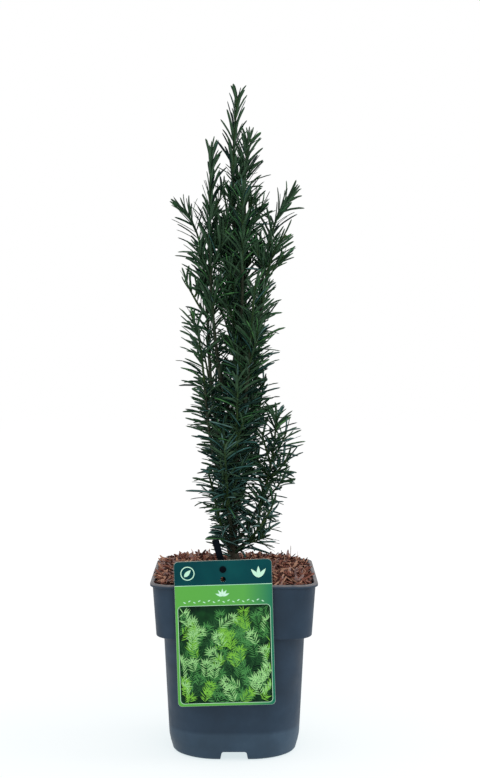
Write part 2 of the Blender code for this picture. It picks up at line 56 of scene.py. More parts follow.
# The photograph's frame and view
IMAGE_HEIGHT = 778
FOCAL_PIXELS = 1475.98
SENSOR = 36
CAMERA_PLACE = (0.00491, -1.26813, 0.37046)
CAMERA_PITCH = -0.04947

# The pot, as in the solids, with the fine rounding that they leave out
POT_HEIGHT = 0.1500
RIM_HALF = 0.0697
RIM_DEPTH = 0.0030
RIM_CORNER = 0.0160
SKIRT_TOP_HALF = 0.0677
SKIRT_FOOT_HALF = 0.0650
SKIRT_FOOT_Z = 0.1040
SKIRT_CORNER = 0.0180
BODY_TOP_HALF = 0.0595
BODY_LOW_HALF = 0.0559
BODY_LOW_Z = 0.0200
BODY_CORNER = 0.0290
BASE_HALF = 0.0525
BASE_CORNER = 0.0380
BASE_SPREAD = 0.0004
BASE_ROUND = 0.0034
BASE_ROUND_IN = 0.0032
SKIRT_ROUND = 0.0016
RIM_ROUND = 0.0007
# Points of the rim's upper edge: (inward from its outline, down from its top)
RIM_EDGE = ((0.0, RIM_ROUND), (0.0003, 0.0002), (0.0008, 0.0))
WALL = 0.0015
FLOOR = 0.0095
NOTCH_WIDTH = 0.0205
NOTCH_FLARE = 0.0014
NOTCH_HEIGHT = 0.0072
NOTCH_DEPTH = 0.0280
NOTCH_ROUND = 0.0016

# The mulch
MULCH_EDGE_Z = POT_HEIGHT - 0.0025
MULCH_TOP_Z = 0.1570
MULCH_BRIM_Z = 0.1488
MULCH_FULLNESS = 3
MULCH_HALF = 0.0650
MULCH_SQUARENESS = 8
# The mulch's small waves, and how far it rises to the left, behind and in the corner between,
# and falls in the corner behind on the right
HEAP_WAVES = 0.0012
HEAP_WAVES_SCALE = 60
LEFT_RISE = 0.0004
BACK_RISE = 0.0005
CORNER_RISE = 0.0003
CORNER_FALL = 0.0012
SOIL_STEPS = 44
SOIL_DROP = 0.0022
SOIL_DEPTH = 0.0120
GAP = 0.0003

# The trunk's axis and taper
TRUNK_FOOT_Z = MULCH_TOP_Z + GAP
FORK_Z = 0.3900
TRUNK_FOOT_RADIUS = 0.0036
TRUNK_TIP_RADIUS = 0.0019
ROOT_FLARE = 0.0026
ROOT_FLARE_HEIGHT = 0.0090
SWAY_CENTRE = 0.0027
SWAY = 0.0040
SWAY_PEAK_Z = 0.3330
SWAY_PERIOD = 0.3000
SWAY_DEPTH = 0.0025
LEADER_TIP_Z = 0.5530

# Boughs and the leafy stems that continue them
BOUGH_FOOT_RADIUS = 0.0018
BOUGH_TIP_RADIUS = 0.0014
STEM_FOOT_RADIUS = 0.0014
STEM_TIP_RADIUS = 0.0007
TWIG_FOOT_RADIUS = 0.0010
LOW_HANDLE = 0.34
HIGH_HANDLE = 0.22

# name: (foot height, foot lean, tip, tip lean, bare length), as in the solids
SHOOTS = {
    "second_leader": (0.368, 16, (0.013, 0.012, 0.523), 26, 0.026),
    "left_spire": (0.264, 22, (-0.020, -0.010, 0.510), 0, 0.100),
    "left_high": (0.232, 30, (-0.044, 0.008, 0.462), 46, 0.090),
    "left_middle": (0.210, 36, (-0.038, -0.014, 0.374), 33, 0.056),
    "left_low": (0.168, 44, (-0.022, -0.016, 0.236), 28, 0.018),
    "right_high": (0.332, 24, (0.047, 0.012, 0.472), 46, 0.046),
    "right_fork": (0.312, 28, (0.042, -0.016, 0.437), 50, 0.052),
    "right_middle": (0.226, 24, (0.027, 0.012, 0.394), 12, 0.060),
    "right_low": (0.174, 50, (0.036, -0.004, 0.283), 2, 0.030),
    "right_foot": (0.166, 62, (0.034, -0.024, 0.214), 22, 0.016),
    "front_high": (0.352, 28, (0.007, -0.024, 0.472), 4, 0.030),
    "front_right": (0.266, 32, (0.018, -0.036, 0.398), 18, 0.044),
    "front_middle": (0.200, 34, (0.003, -0.030, 0.318), 8, 0.030),
    "front_low": (0.180, 50, (-0.008, -0.040, 0.262), 16, 0.022),
    "back_high": (0.340, 26, (-0.008, 0.034, 0.472), 16, 0.036),
    "back_middle": (0.256, 32, (0.006, 0.044, 0.410), 14, 0.050),
    "back_left": (0.224, 36, (-0.027, 0.034, 0.338), 22, 0.040),
    "back_right": (0.196, 40, (0.026, 0.036, 0.312), 18, 0.036),
    "back_low": (0.172, 50, (-0.010, 0.040, 0.246), 18, 0.022),
}

# name: (share of the stem, bearing, lean, length) of its side twigs, as in the solids
TWIGS = {
    "left_high": [(0.34, 185, 38, 0.036)],
    "right_low": [(0.12, -10, 52, 0.030)],
    "right_foot": [(0.10, 10, 78, 0.020)],
    "back_middle": [(0.30, 60, 40, 0.030)],
}
TWIG_CHORD_LEAN = 0.80
TWIG_TIP_LEAN = 0.55

# Finer twigs that show at the crown's edge, by the same four values
EDGE_TWIGS = {
    "leader": [(0.00, 200, 26, 0.060), (0.52, 40, 34, 0.016)],
    "second_leader": [(0.40, -10, 46, 0.024)],
    "left_spire": [(0.30, 170, 30, 0.024), (0.62, 20, 30, 0.026)],
    "right_fork": [(0.60, 0, 62, 0.016)],
    "right_low": [(0.40, -20, 58, 0.022), (0.55, 150, 24, 0.026), (0.58, -10, 34, 0.026)],
    "right_foot": [(0.00, -30, 84, 0.018), (0.05, 40, 88, 0.024), (0.35, 60, 20, 0.034)],
}

# How needles stand on single shoots: (density, spread, length of the tip left out)
STANCES = {
    "leader": (0.75, 0.60, 0.0),
    "second_leader": (1.40, 0.95, 0.004),
    "left_spire": (1.30, 0.66, 0.004),
    "left_middle": (1.00, 1.00, 0.006),
    "right_high": (1.20, 1.00, 0.0),
    "right_low": (1.50, 1.00, 0.0),
}
PLAIN_STANCE = (1.0, 1.0, 0.0)
BOUGH_STANCE = (0.8, 1.0, 0.0)
BOUGH_NEEDLES_START = 0.005
# Needles on the trunk: from and to a distance above its foot, or to its end, and their stance
TRUNK_NEEDLES = ((0.003, 0.045, (2.0, 0.9, 0.0)), (0.045, None, (1.1, 0.66, 0.0)))

# The crown's reach to the left and right as seen from the front: (height, left, right)
REACH = (
    (0.1600, -0.025, 0.040),
    (0.1735, -0.027, 0.042),
    (0.1950, -0.035, 0.042),
    (0.2120, -0.044, 0.044),
    (0.2260, -0.041, 0.053),
    (0.2340, -0.036, 0.057),
    (0.2410, -0.030, 0.049),
    (0.2450, -0.020, 0.048),
    (0.2490, -0.024, 0.056),
    (0.2560, -0.033, 0.061),
    (0.2720, -0.041, 0.061),
    (0.2840, -0.044, 0.056),
    (0.2920, -0.046, 0.048),
    (0.2980, -0.047, 0.040),
    (0.3280, -0.056, 0.041),
    (0.3500, -0.051, 0.046),
    (0.3760, -0.048, 0.044),
    (0.3930, -0.041, 0.040),
    (0.4057, -0.046, 0.034),
    (0.4120, -0.050, 0.042),
    (0.4186, -0.052, 0.052),
    (0.4360, -0.051, 0.055),
    (0.4680, -0.057, 0.063),
    (0.4870, -0.044, 0.056),
    (0.5130, -0.028, 0.030),
    (0.5300, -0.026, 0.027),
    (0.5450, -0.012, 0.020),
    (0.5560, -0.008, 0.016),
    (0.5700, -0.004, 0.010),
)

# Where the sky shows through the crown: (left, right, low, high, share of needles that stay)
SKY_GAPS = (
    (-0.0329, -0.0226, 0.4873, 0.5149, 0.20),
    (-0.0114, -0.0050, 0.4925, 0.5050, 0.40),
    (-0.0114, -0.0050, 0.4882, 0.4925, 0.20),
    (-0.0355, -0.0278, 0.4667, 0.4891, 0.10),
    (-0.0114, -0.0071, 0.4641, 0.4719, 0.10),
    (0.0101, 0.0122, 0.4581, 0.4650, 0.00),
    (0.0307, 0.0384, 0.4615, 0.4830, 0.12),
    (0.0221, 0.0298, 0.4495, 0.4581, 0.60),
    (0.0427, 0.0565, 0.4409, 0.4564, 0.35),
    (0.0393, 0.0479, 0.4271, 0.4409, 0.65),
    (-0.0028, 0.0006, 0.4426, 0.4495, 0.10),
    (-0.0381, -0.0304, 0.4289, 0.4443, 0.55),
    (-0.0252, -0.0218, 0.4168, 0.4357, 0.40),
    (-0.0209, -0.0183, 0.3927, 0.4142, 0.40),
    (0.0126, 0.0169, 0.3953, 0.4185, 0.35),
    (0.0058, 0.0083, 0.3970, 0.4039, 0.20),
    (-0.0639, -0.0329, 0.3790, 0.3927, 0.05),
    (-0.0329, -0.0300, 0.3755, 0.3841, 0.15),
    (0.0109, 0.0144, 0.3764, 0.3859, 0.30),
    (-0.0183, -0.0140, 0.3669, 0.3798, 0.30),
    (-0.0278, -0.0226, 0.3446, 0.3669, 0.40),
    (-0.0080, -0.0046, 0.3532, 0.3635, 0.20),
    (-0.0054, -0.0011, 0.3317, 0.3377, 0.00),
    (-0.0261, -0.0209, 0.3188, 0.3343, 0.15),
    (-0.0166, -0.0140, 0.3179, 0.3274, 0.10),
    (0.0316, 0.0651, 0.3300, 0.4134, 0.50),
    (0.0298, 0.0651, 0.3119, 0.3300, 0.20),
    (0.0298, 0.0651, 0.2981, 0.3119, 0.30),
    (-0.0639, -0.0347, 0.3085, 0.3454, 0.70),
    (-0.0639, -0.0381, 0.2964, 0.3085, 0.35),
    (0.0221, 0.0281, 0.2600, 0.2792, 0.50),
    (0.0221, 0.0281, 0.2465, 0.2600, 0.25),
    (0.0436, 0.0651, 0.2655, 0.2775, 0.60),
    (-0.0037, -0.0011, 0.2904, 0.2947, 0.00),
    (-0.0639, -0.0235, 0.2390, 0.2475, 0.15),
    (-0.0639, -0.0243, 0.2311, 0.2390, 0.50),
    (-0.0166, -0.0132, 0.2233, 0.2302, 0.00),
    (-0.0639, -0.0218, 0.2018, 0.2242, 0.50),
    (-0.0639, -0.0226, 0.1820, 0.1992, 0.20),
    (0.0101, 0.0204, 0.2027, 0.2293, 0.40),
    (0.0359, 0.0436, 0.2121, 0.2242, 0.40),
    (0.0058, 0.0152, 0.1820, 0.1941, 0.45),
    (0.0316, 0.0393, 0.1778, 0.1949, 0.35),
)

# Needles at their real size
NEEDLE_LENGTH = 0.0255
NEEDLE_WIDTH = 0.0020
NEEDLE_THICKNESS = 0.00040
NEEDLE_SPACING = 0.00115
TIP_TUFT = 0.0030
GOLDEN_ANGLE = math.radians(137.5)
NEEDLE_STATIONS = (0.0, 0.06, 0.15, 0.45, 0.78, 0.94, 1.0)
NEEDLE_PROFILE = (0.34, 0.42, 0.90, 1.0, 0.95, 0.66, 0.10)
# Corners of a needle's section, across and up, and the skin of the face after each:
# 0 is the upper side, 1 the underside and 2 the edge, which is painted in dark shade
NEEDLE_SECTION = ((-1.0, -0.30), (-0.55, 0.35), (0.0, 0.62), (0.55, 0.35), (1.0, -0.30), (0.0, -0.38))
NEEDLE_SKINS = (2, 0, 0, 2, 1, 1)
NEEDLE_BLUNTNESS = 1.6
BEND_STEPS = 32
# Columns of a needle's row that fitting reads, the shares of its length that have to lie in the
# crown, the stations that keep clear of limbs, and the lengths that are tried
LENGTH_COLUMN = 13
CHANCE_COLUMN = 15
CROWN_SHARES = np.linspace(0.15, 1.0, 9)
OUTER_STATIONS = (5, 6)
SHORTENINGS = (1.0, 0.84, 0.70)
LIMB_STEP = 0.002

# The printed card, its peg and its stake
CARD_WIDTH = 0.0800
CARD_HEIGHT = 0.1200
CARD_THICKNESS = 0.0005
CARD_CORNER = 0.0035
CARD_TILT = math.radians(1.7)
CARD_FRONT_Y = -0.0712
CARD_PEG_DROP = 0.0075
PUNCHED_HOLE_RADIUS = 0.0022
PUNCHED_HOLE_DROP = 0.0082
PEG_HOLE_RADIUS = 0.0024
PEG_PLACE = Vector((-0.0091, 0.0, 0.1636))
PEG_RADIUS = 0.0019
PEG_HEAD_RADIUS = 0.0028
PEG_HEAD_DEPTH = 0.0014
PEG_HEAD_EDGE = 0.0003
STAKE_WIDTH = 0.0060
STAKE_THICKNESS = 0.0020
STAKE_Y = -0.0610
STAKE_ABOVE_PEG = 0.0240
STAKE_BELOW_PEG = 0.0550
STAKE_POINT = 0.35
STAKE_LEAN = math.radians(15.7)


def clamp(value):
    return min(1.0, max(0.0, value))


def rgb(*channels):
    """A display colour from 0 to 255 as the linear colour that shaders take."""
    return tuple(((v / 255 + 0.055) / 1.055) ** 2.4 if v > 10 else v / 255 / 12.92 for v in channels)


COAT_ROUGHNESS = 0.18


class Surface:
    """A material on one Principled shader, with helpers for its pattern nodes."""

    def __init__(self, name, roughness, specular=0.5, coat=0.0):
        self.material = bpy.data.materials.new(name)
        self.material.use_nodes = True
        self.tree = self.material.node_tree
        self.shader = self.tree.nodes["Principled BSDF"]
        self.shader.inputs["Roughness"].default_value = roughness
        self.shader.inputs["Specular IOR Level"].default_value = specular
        self.shader.inputs["Coat Weight"].default_value = coat
        self.shader.inputs["Coat Roughness"].default_value = COAT_ROUGHNESS
        self.place = self.node("TexCoord", "Object")

    def node(self, kind, output, **values):
        """Add a node and give one output. Lower-case names are its settings and others its inputs."""
        node = self.tree.nodes.new("ShaderNode" + kind)
        for name, value in values.items():
            if name.islower():
                setattr(node, name, value)
            elif isinstance(value, bpy.types.NodeSocket):
                self.tree.links.new(value, node.inputs[name.replace("_", " ")])
            else:
                node.inputs[name.replace("_", " ")].default_value = value
        return node.outputs[output]

    def feed(self, value, name):
        self.tree.links.new(value, self.shader.inputs[name])

    def stretched(self, scale):
        return self.node("Mapping", "Vector", Vector=self.place, Scale=scale)

    def noise(self, scale, detail, roughness=0.55, place=None):
        place = place or self.place
        return self.node("TexNoise", "Fac", Vector=place, Scale=scale, Detail=detail, Roughness=roughness)

    def between(self, value, low, high, first=0.0, last=1.0):
        ends = {"From_Min": low, "From_Max": high, "To_Min": first, "To_Max": last}
        return self.node("MapRange", "Result", Value=value, **ends)

    def rise(self, axis, low, high):
        """0 below one place on an axis, 1 above another."""
        return self.between(self.node("SeparateXYZ", axis, Vector=self.place), low, high)

    def mix(self, share, first, second):
        return self.node("Mix", "Result", data_type="RGBA", Factor=share, A=first, B=second)

    def ramp(self, value, *stops):
        """Linear colours along a value; a stop is its place and its colour."""
        output = self.node("ValToRGB", "Color", Fac=value)
        elements = output.node.color_ramp.elements
        while len(elements) < len(stops):
            elements.new(0.5)
        for element, (position, colour) in zip(elements, stops):
            element.position = position
            element.color = (*colour, 1)
        return output

    def tones(self, value, *stops):
        """A ramp whose stops have display colours."""
        return self.ramp(value, *[(position, rgb(*colour)) for position, colour in stops])

    def bump(self, value, depth, strength=1.0, after=None):
        relief = self.node("Bump", "Normal", Height=value, Distance=depth, Strength=strength)
        if after is not None:
            self.tree.links.new(after, relief.node.inputs["Normal"])
        self.feed(relief, "Normal")
        return relief

    def grain(self, scale, detail, depth, strength=1.0, after=None):
        return self.bump(self.noise(scale, detail), depth, strength, after)


# Plain surfaces: (roughness, specular, coat), (scale, detail, roughness) of the noise that colours
# them, the two shares of it where their colours stand, and (scale, detail, depth, strength) of the grain
KINDS = {
    "soil": ((0.95, 0.05, 0.0), (260, 6, 0.55), (0.30, 0.75), (420, 6, 0.0012, 1.0)),
    "chip": ((0.82, 0.05, 0.0), (520, 6, 0.65), (0.28, 0.72), (900, 5, 0.0003, 0.8)),
    "needle": ((0.40, 0.07, 0.0), (130, 4, 0.55), (0.32, 0.70), (900, 3, 0.00008, 0.5)),
    "print": ((0.32, 0.04, 0.02), (60, 3, 0.55), (0.32, 0.70), (700, 2, 0.00004, 0.3)),
    "stake": ((0.35, 0.02, 0.0), (120, 4, 0.55), (0.30, 0.75), (900, 3, 0.00006, 0.5)),
}


def plain(kind, name, dark, light, scale=None, roughness=None):
    """A surface that drifts softly between two display colours."""
    (usual_roughness, specular, coat), (usual_scale, *noise_detail), (low, high), grain = KINDS[kind]
    s = Surface(name, roughness or usual_roughness, specular, coat)
    drift = s.noise(scale or usual_scale, *noise_detail)
    s.feed(s.tones(drift, (low, dark), (high, light)), "Base Color")
    s.grain(*grain)
    return s.material


def pot_plastic():
    """Blue-grey plastic, paler round its foot as a painted highlight from the floor below, with a lighter
    rim that is partly dust and wear and partly a painted highlight.
    """
    s = Surface("pot_plastic", 0.50, specular=0.22)
    clouds = s.noise(28, 5)
    wall = s.tones(clouds, (0.30, (27, 43, 58)), (0.55, (33, 51, 68)), (0.78, (43, 61, 79)))
    # Painted light: the foot is paler, a painted highlight of the bright floor below
    foot = s.tones(clouds, (0.30, (39, 56, 71)), (0.55, (46, 65, 82)), (0.78, (58, 78, 96)))
    # The rim's lighter, browner colour is partly mulch dust and wear and partly a painted highlight along
    # its edge
    rim = s.tones(s.noise(160, 4), (0.30, (76, 80, 87)), (0.75, (124, 117, 115)))
    body = s.mix(s.rise("Z", BODY_LOW_Z + 0.0015, BODY_LOW_Z + 0.0045), foot, wall)
    s.feed(s.mix(s.rise("Z", POT_HEIGHT - 0.0016, POT_HEIGHT - 0.0004), body, rim), "Base Color")
    s.feed(s.between(s.noise(60, 4), 0.3, 0.7, 0.42, 0.60), "Roughness")
    waves = s.grain(45, 2, 0.0004, 0.35)
    s.grain(1500, 3, 0.00006, 0.6, waves)
    return s.material


def bark(name, dark, middle, light):
    s = Surface(name, 0.80, specular=0.15)
    drawn = s.stretched((1.0, 1.0, 0.30))
    patches = s.noise(240, 6, 0.6, drawn)
    s.feed(s.tones(patches, (0.30, dark), (0.50, middle), (0.74, light)), "Base Color")
    flakes = s.bump(s.node("TexVoronoi", "Distance", Vector=drawn, Scale=420), 0.0006, 0.7)
    s.grain(1500, 4, 0.0002, 0.6, flakes)
    return s.material


def printed_band():
    """Laminated print that turns from fresh green to teal across the card."""
    finish, _, _, grain = KINDS["print"]
    s = Surface("print_band", *finish)
    across = s.rise("X", -CARD_WIDTH / 2, CARD_WIDTH / 2)
    tones = s.tones(across, (0.10, (88, 162, 70)), (0.60, (86, 160, 74)), (0.95, (16, 102, 88)))
    s.feed(tones, "Base Color")
    s.grain(*grain)
    return s.material


def floor_with_painted_glow():
    """A pale floor that glows with painted light, which lifts the shade under the pot and in its notches;
    faintly blue round the pot as a painted cool shade, fading to the white of the studio.
    """
    s = Surface("studio_floor", 0.80, specular=0.0)
    near = s.node("TexGradient", "Fac", gradient_type="SPHERICAL", Vector=s.stretched((1.1, 1.1, 1.1)))
    s.feed(s.ramp(near, (0.20, (0.3, 0.3, 0.3)), (0.80, (0.28, 0.23, 0.22))), "Base Color")
    # Painted light: the floor glows, faintly blue near the pot as a painted cool shade, to lift the shade
    # that the pot casts there
    s.feed(s.ramp(near, (0.20, (0.7, 0.7, 0.7)), (0.80, (0.67, 0.76, 0.78))), "Emission Color")
    s.shader.inputs["Emission Strength"].default_value = 1.0
    return s.material


def new_object(name, data, *materials):
    item = bpy.data.objects.new(name, data)
    bpy.context.scene.collection.objects.link(item)
    for material in materials:
        data.materials.append(material)
    return item


def evaluated_mesh(item):
    """A new mesh of an object, as its modifiers or its fill leave it."""
    graph = bpy.context.evaluated_depsgraph_get()
    return bpy.data.meshes.new_from_object(item.evaluated_get(graph))


def modified(item, kind, **settings):
    """Work one modifier into an object's own mesh."""
    modifier = item.modifiers.new(kind.title(), kind)
    for name, value in settings.items():
        setattr(modifier, name, value)
    item.data = evaluated_mesh(item)
    item.modifiers.clear()


def dress(item, slot, *nodes):
    """Make a finished piece part of the plant: it rides and may stand for nodes; the slot is not used."""
    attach(item, "root")
    if nodes:
        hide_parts(*nodes)
    return item


def bmesh_of(mesh):
    bm = bmesh.new()
    bm.from_mesh(mesh)
    return bm


def mesh_of(bm, name, smooth_degrees=None):
    """Turn a bmesh into a mesh; edges flatter than the angle are shaded smooth."""
    if smooth_degrees is not None:
        limit = math.radians(smooth_degrees)
        for face in bm.faces:
            face.smooth = True
        for edge in bm.edges:
            edge.smooth = len(edge.link_faces) == 2 and edge.calc_face_angle(math.pi) < limit
    mesh = bpy.data.meshes.new(name)
    bm.to_mesh(mesh)
    bm.free()
    return mesh


def mesh_from(name, points, faces, smooth=True):
    mesh = bpy.data.meshes.new(name)
    mesh.from_pydata(points, [], faces)
    mesh.polygons.foreach_set("use_smooth", [smooth] * len(mesh.polygons))
    mesh.update()
    return mesh


# Limbs

# How far to each side a path's direction is read, and how many points its kinds have
DIRECTION_REACH = 0.002
SHOOT_POINTS = 48
TWIG_POINTS = 24
TRUNK_STEPS = 80
LEADER_STEPS = 40


class Path:
    """A smooth line through points, read by the distance along it."""

    def __init__(self, points):
        self.points = points
        self.marks = [0.0]
        for a, b in zip(points, points[1:]):
            self.marks.append(self.marks[-1] + (b - a).length)
        self.length = self.marks[-1]

    def at(self, distance):
        distance = min(max(distance, 0.0), self.length)
        for i in range(len(self.points) - 1):
            if distance <= self.marks[i + 1]:
                share = (distance - self.marks[i]) / (self.marks[i + 1] - self.marks[i])
                return self.points[i].lerp(self.points[i + 1], share)
        return self.points[-1].copy()

    def direction(self, distance):
        return (self.at(distance + DIRECTION_REACH) - self.at(distance - DIRECTION_REACH)).normalized()

    def part(self, start, end, step):
        count = max(2, round((end - start) / step))
        return [self.at(start + (end - start) * i / count) for i in range(count + 1)]


def level_way(turn):
    """The level direction at a turn from the X axis."""
    return Vector((math.cos(turn), math.sin(turn), 0))


def leaning(bearing, lean):
    return bearing * math.sin(math.radians(lean)) + Vector((0, 0, math.cos(math.radians(lean))))


def trunk_axis(z):
    turn = 2 * math.pi * (z - SWAY_PEAK_Z) / SWAY_PERIOD
    return Vector((SWAY_CENTRE + SWAY * math.cos(turn), SWAY_DEPTH * math.sin(turn), z))


def trunk_radius(z):
    share = (z - TRUNK_FOOT_Z) / (FORK_Z - TRUNK_FOOT_Z)
    flare = ROOT_FLARE * math.exp(-(z - TRUNK_FOOT_Z) / ROOT_FLARE_HEIGHT)
    return TRUNK_FOOT_RADIUS + (TRUNK_TIP_RADIUS - TRUNK_FOOT_RADIUS) * share + flare


def trunk_line(low, high, count):
    return [trunk_axis(low + (high - low) * i / count) for i in range(count + 1)]


def arc(start, end, points, bearing, foot_lean, tip_lean):
    chord = (end - start).length
    low = start + leaning(bearing, foot_lean) * chord * LOW_HANDLE
    high = end - leaning(bearing, tip_lean) * chord * HIGH_HANDLE
    return Path(interpolate_bezier(start, low, high, end, points))


def shoot_path(foot_z, foot_lean, tip, tip_lean):
    start = trunk_axis(foot_z)
    end = Vector(tip)
    bearing = Vector((end.x - start.x, end.y - start.y, 0)).normalized()
    return arc(start, end, SHOOT_POINTS, bearing, foot_lean, tip_lean)


def twig_path(stem, start, bearing_degrees, lean, length):
    bearing = level_way(math.radians(bearing_degrees))
    foot = stem.at(start)
    end = foot + leaning(bearing, lean * TWIG_CHORD_LEAN) * length
    return arc(foot, end, TWIG_POINTS, bearing, lean, lean * TWIG_TIP_LEAN)


class Stem:
    """A leafy stretch of a limb: where it runs, how thick it is and how its needles stand."""

    def __init__(self, name, path, start, end, radii, stance=PLAIN_STANCE):
        self.name = name
        self.path = path
        self.start = start
        self.tip = path.length - stance[2]
        self.radii = radii
        self.fullness, self.spread, shorter = stance
        self.end = end - shorter

    def radius(self, distance):
        share = (distance - self.start) / (self.end - self.start)
        return self.radii[0] + (self.radii[1] - self.radii[0]) * share


def grow_limbs():
    """The boughs and the leafy stems, by the rule of the solids."""
    trunk = Path(trunk_line(TRUNK_FOOT_Z, FORK_Z, TRUNK_STEPS))
    leader = Path(trunk_line(FORK_Z, LEADER_TIP_Z, LEADER_STEPS))
    boughs = []
    radii = (TRUNK_TIP_RADIUS, STEM_TIP_RADIUS)
    stems = [Stem("leader", leader, 0.0, leader.length, radii, STANCES["leader"])]
    for name, (foot_z, foot_lean, tip, tip_lean, bare) in SHOOTS.items():
        path = shoot_path(foot_z, foot_lean, tip, tip_lean)
        boughs.append(Stem(name, path, 0.0, bare, (BOUGH_FOOT_RADIUS, BOUGH_TIP_RADIUS)))
        radii = (STEM_FOOT_RADIUS, STEM_TIP_RADIUS)
        stems.append(Stem(name, path, bare, path.length, radii, STANCES.get(name, PLAIN_STANCE)))
    for stem in list(stems):
        for share, bearing, lean, length in TWIGS.get(stem.name, []) + EDGE_TWIGS.get(stem.name, []):
            foot = stem.start + (stem.end - stem.start) * share
            twig = twig_path(stem.path, foot, bearing, lean, length)
            stems.append(Stem(stem.name, twig, 0.0, twig.length, (TWIG_FOOT_RADIUS, STEM_TIP_RADIUS)))
    return trunk, boughs, stems + finer_twigs(trunk, stems)


# Finer twigs on the trunk and the leafy stems: where they stand, and each one's range of lengths,
# leans in degrees and steps to the next
TRUNK_TWIG_HEIGHTS = (0.196, 0.385)
TRUNK_TWIGS = ((0.030, 0.046), (26, 42), (0.006, 0.011))
STEM_TWIG_SHARES = (0.10, 0.66)
STEM_TWIGS = ((0.020, 0.034), (26, 40), (0.012, 0.020))
STEM_TWIG_TAPER = 0.4
TWIG_TURN = 137.5
TWIG_TURN_SWAY = 20
# Room that a finer twig needs round its tip, and the depth of the crown that it keeps to
ROOM_AHEAD = 0.010
ROOM_BESIDE = 0.011
TWIG_DEPTH = 0.036
# The stretch of the crown's left edge that has no finer twigs: its inner limit and its heights
BARE_EDGE = (-0.028, 0.37, 0.43)


def finer_twigs(trunk, stems):
    """Short side twigs on the trunk and the leafy stems, where the crown has room for them."""
    rng = random.Random(SEED + 3)
    feet = []
    height, top = TRUNK_TWIG_HEIGHTS
    lengths, leans, steps = TRUNK_TWIGS
    while height < top:
        feet.append((trunk, height - TRUNK_FOOT_Z, rng.uniform(*lengths), rng.uniform(*leans)))
        height += rng.uniform(*steps)
    first, last = STEM_TWIG_SHARES
    lengths, leans, steps = STEM_TWIGS
    for stem in stems:
        span = stem.end - stem.start
        distance = stem.start + first * span
        while distance < stem.start + last * span:
            share = (distance - stem.start) / span
            length = rng.uniform(*lengths) * (1 - STEM_TWIG_TAPER * share)
            feet.append((stem.path, distance, length, rng.uniform(*leans)))
            distance += rng.uniform(*steps)
    twigs = []
    turn = 0.0
    edge, edge_low, edge_high = BARE_EDGE
    for path, distance, length, lean in feet:
        turn += TWIG_TURN + rng.uniform(-TWIG_TURN_SWAY, TWIG_TURN_SWAY)
        twig = twig_path(path, distance, turn, lean, length)
        tip = twig.points[-1]
        ahead = tip + twig.direction(twig.length) * ROOM_AHEAD
        beside = [tip + Vector((reach, 0, 0)) for reach in (-ROOM_BESIDE, ROOM_BESIDE)]
        room = inside_crown(np.array([tip, ahead, *beside, twig.at(length * 0.6)]))
        at_bare_edge = tip.x < edge and edge_low < tip.z < edge_high
        if room.all() and abs(tip.y) < TWIG_DEPTH and not at_bare_edge:
            twigs.append(Stem("twig", twig, 0.001, twig.length, (TWIG_FOOT_RADIUS, STEM_TIP_RADIUS)))
    return twigs


def ring_faces(low, sides):
    """Faces between the ring of points that starts at one number and the ring after it."""
    high = low + sides
    return [(low + i, low + (i + 1) % sides, high + (i + 1) % sides, high + i) for i in range(sides)]


def limb_rings(path, start, end, fineness, radius_at):
    """Rings of points round a limb; radius_at gives the radius at a distance, a turn and a place."""
    step, sides = fineness
    count = max(2, round((end - start) / step))
    rings = []
    across = path.direction(start).orthogonal().normalized()
    for i in range(count + 1):
        distance = start + (end - start) * i / count
        along = path.direction(distance)
        across = (across - along * across.dot(along)).normalized()
        up = along.cross(across)
        centre = path.at(distance)
        ring = []
        for side in range(sides):
            turn = 2 * math.pi * side / sides
            out = across * math.cos(turn) + up * math.sin(turn)
            ring.append(centre + out * radius_at(distance, turn, centre + out * 0.002))
        rings.append(ring)
    return rings


class Skin:
    """Collects rings of points into one closed mesh."""

    def __init__(self):
        self.points = []
        self.faces = []

    def sleeve(self, rings, point_tip=None):
        sides = len(rings[0])
        first = len(self.points)
        for ring in rings:
            self.points.extend(ring)
        for level in range(len(rings) - 1):
            self.faces += ring_faces(first + level * sides, sides)
        self.faces.append(tuple(first + i for i in reversed(range(sides))))
        last = first + (len(rings) - 1) * sides
        if point_tip is None:
            self.faces.append(tuple(last + i for i in range(sides)))
        else:
            self.points.append(point_tip)
            tip = len(self.points) - 1
            for i in range(sides):
                self.faces.append((last + i, last + (i + 1) % sides, tip))

    def mesh(self, name):
        return mesh_from(name, self.points, self.faces)


def solid_of(name, rings, smooth_degrees=None, point_tip=None):
    """A mesh of one closed solid through rings of points."""
    skin = Skin()
    skin.sleeve(rings, point_tip)
    bm = bmesh_of(skin.mesh(name))
    bmesh.ops.recalc_face_normals(bm, faces=bm.faces)
    return mesh_of(bm, name, smooth_degrees)


def bark_piece(name, skin, *colours):
    return new_object(name, skin.mesh(name), bark(name, *colours))


def ridges(place, across, along):
    """Relief drawn out along an upright limb, from -1 to 1."""
    return noise.noise(Vector((place.x * across, place.y * across, place.z * along)))


# How far the trunk's foot sinks into the mulch, and a bough runs into its leafy stem
TRUNK_SINK = 0.0012
BOUGH_LAP = 0.0004
# Rings round limbs: (distance between rings, sides)
TRUNK_RINGS = (0.0011, 40)
BOUGH_RINGS = (0.0013, 18)
STEM_RINGS = (0.0022, 15)
# Relief of the trunk's ridges, flakes and scars, and of a bough's collar, ridges and scars, as shares
# of the radius
TRUNK_RELIEF = (0.10, 0.07, 0.22)
BOUGH_RELIEF = (0.45, 0.10, 0.25)
COLLAR_LENGTH = 0.0035


def build_trunk(trunk):
    def radius_at(distance, turn, place):
        flake = noise.noise(place * 420)
        scar = max(0.0, noise.noise(place * 130) - 0.25)
        parts = (ridges(place, 900, 190), flake, scar)
        relief = sum(share * part for share, part in zip(TRUNK_RELIEF, parts))
        return trunk_radius(TRUNK_FOOT_Z + distance) * (1 + relief)

    skin = Skin()
    rings = limb_rings(trunk, 0.0, trunk.length, TRUNK_RINGS, radius_at)
    for point in rings[0]:
        point.z = TRUNK_FOOT_Z - TRUNK_SINK
    skin.sleeve(rings)
    return bark_piece("trunk_bark", skin, (30, 27, 22), (54, 52, 43), (80, 80, 68))


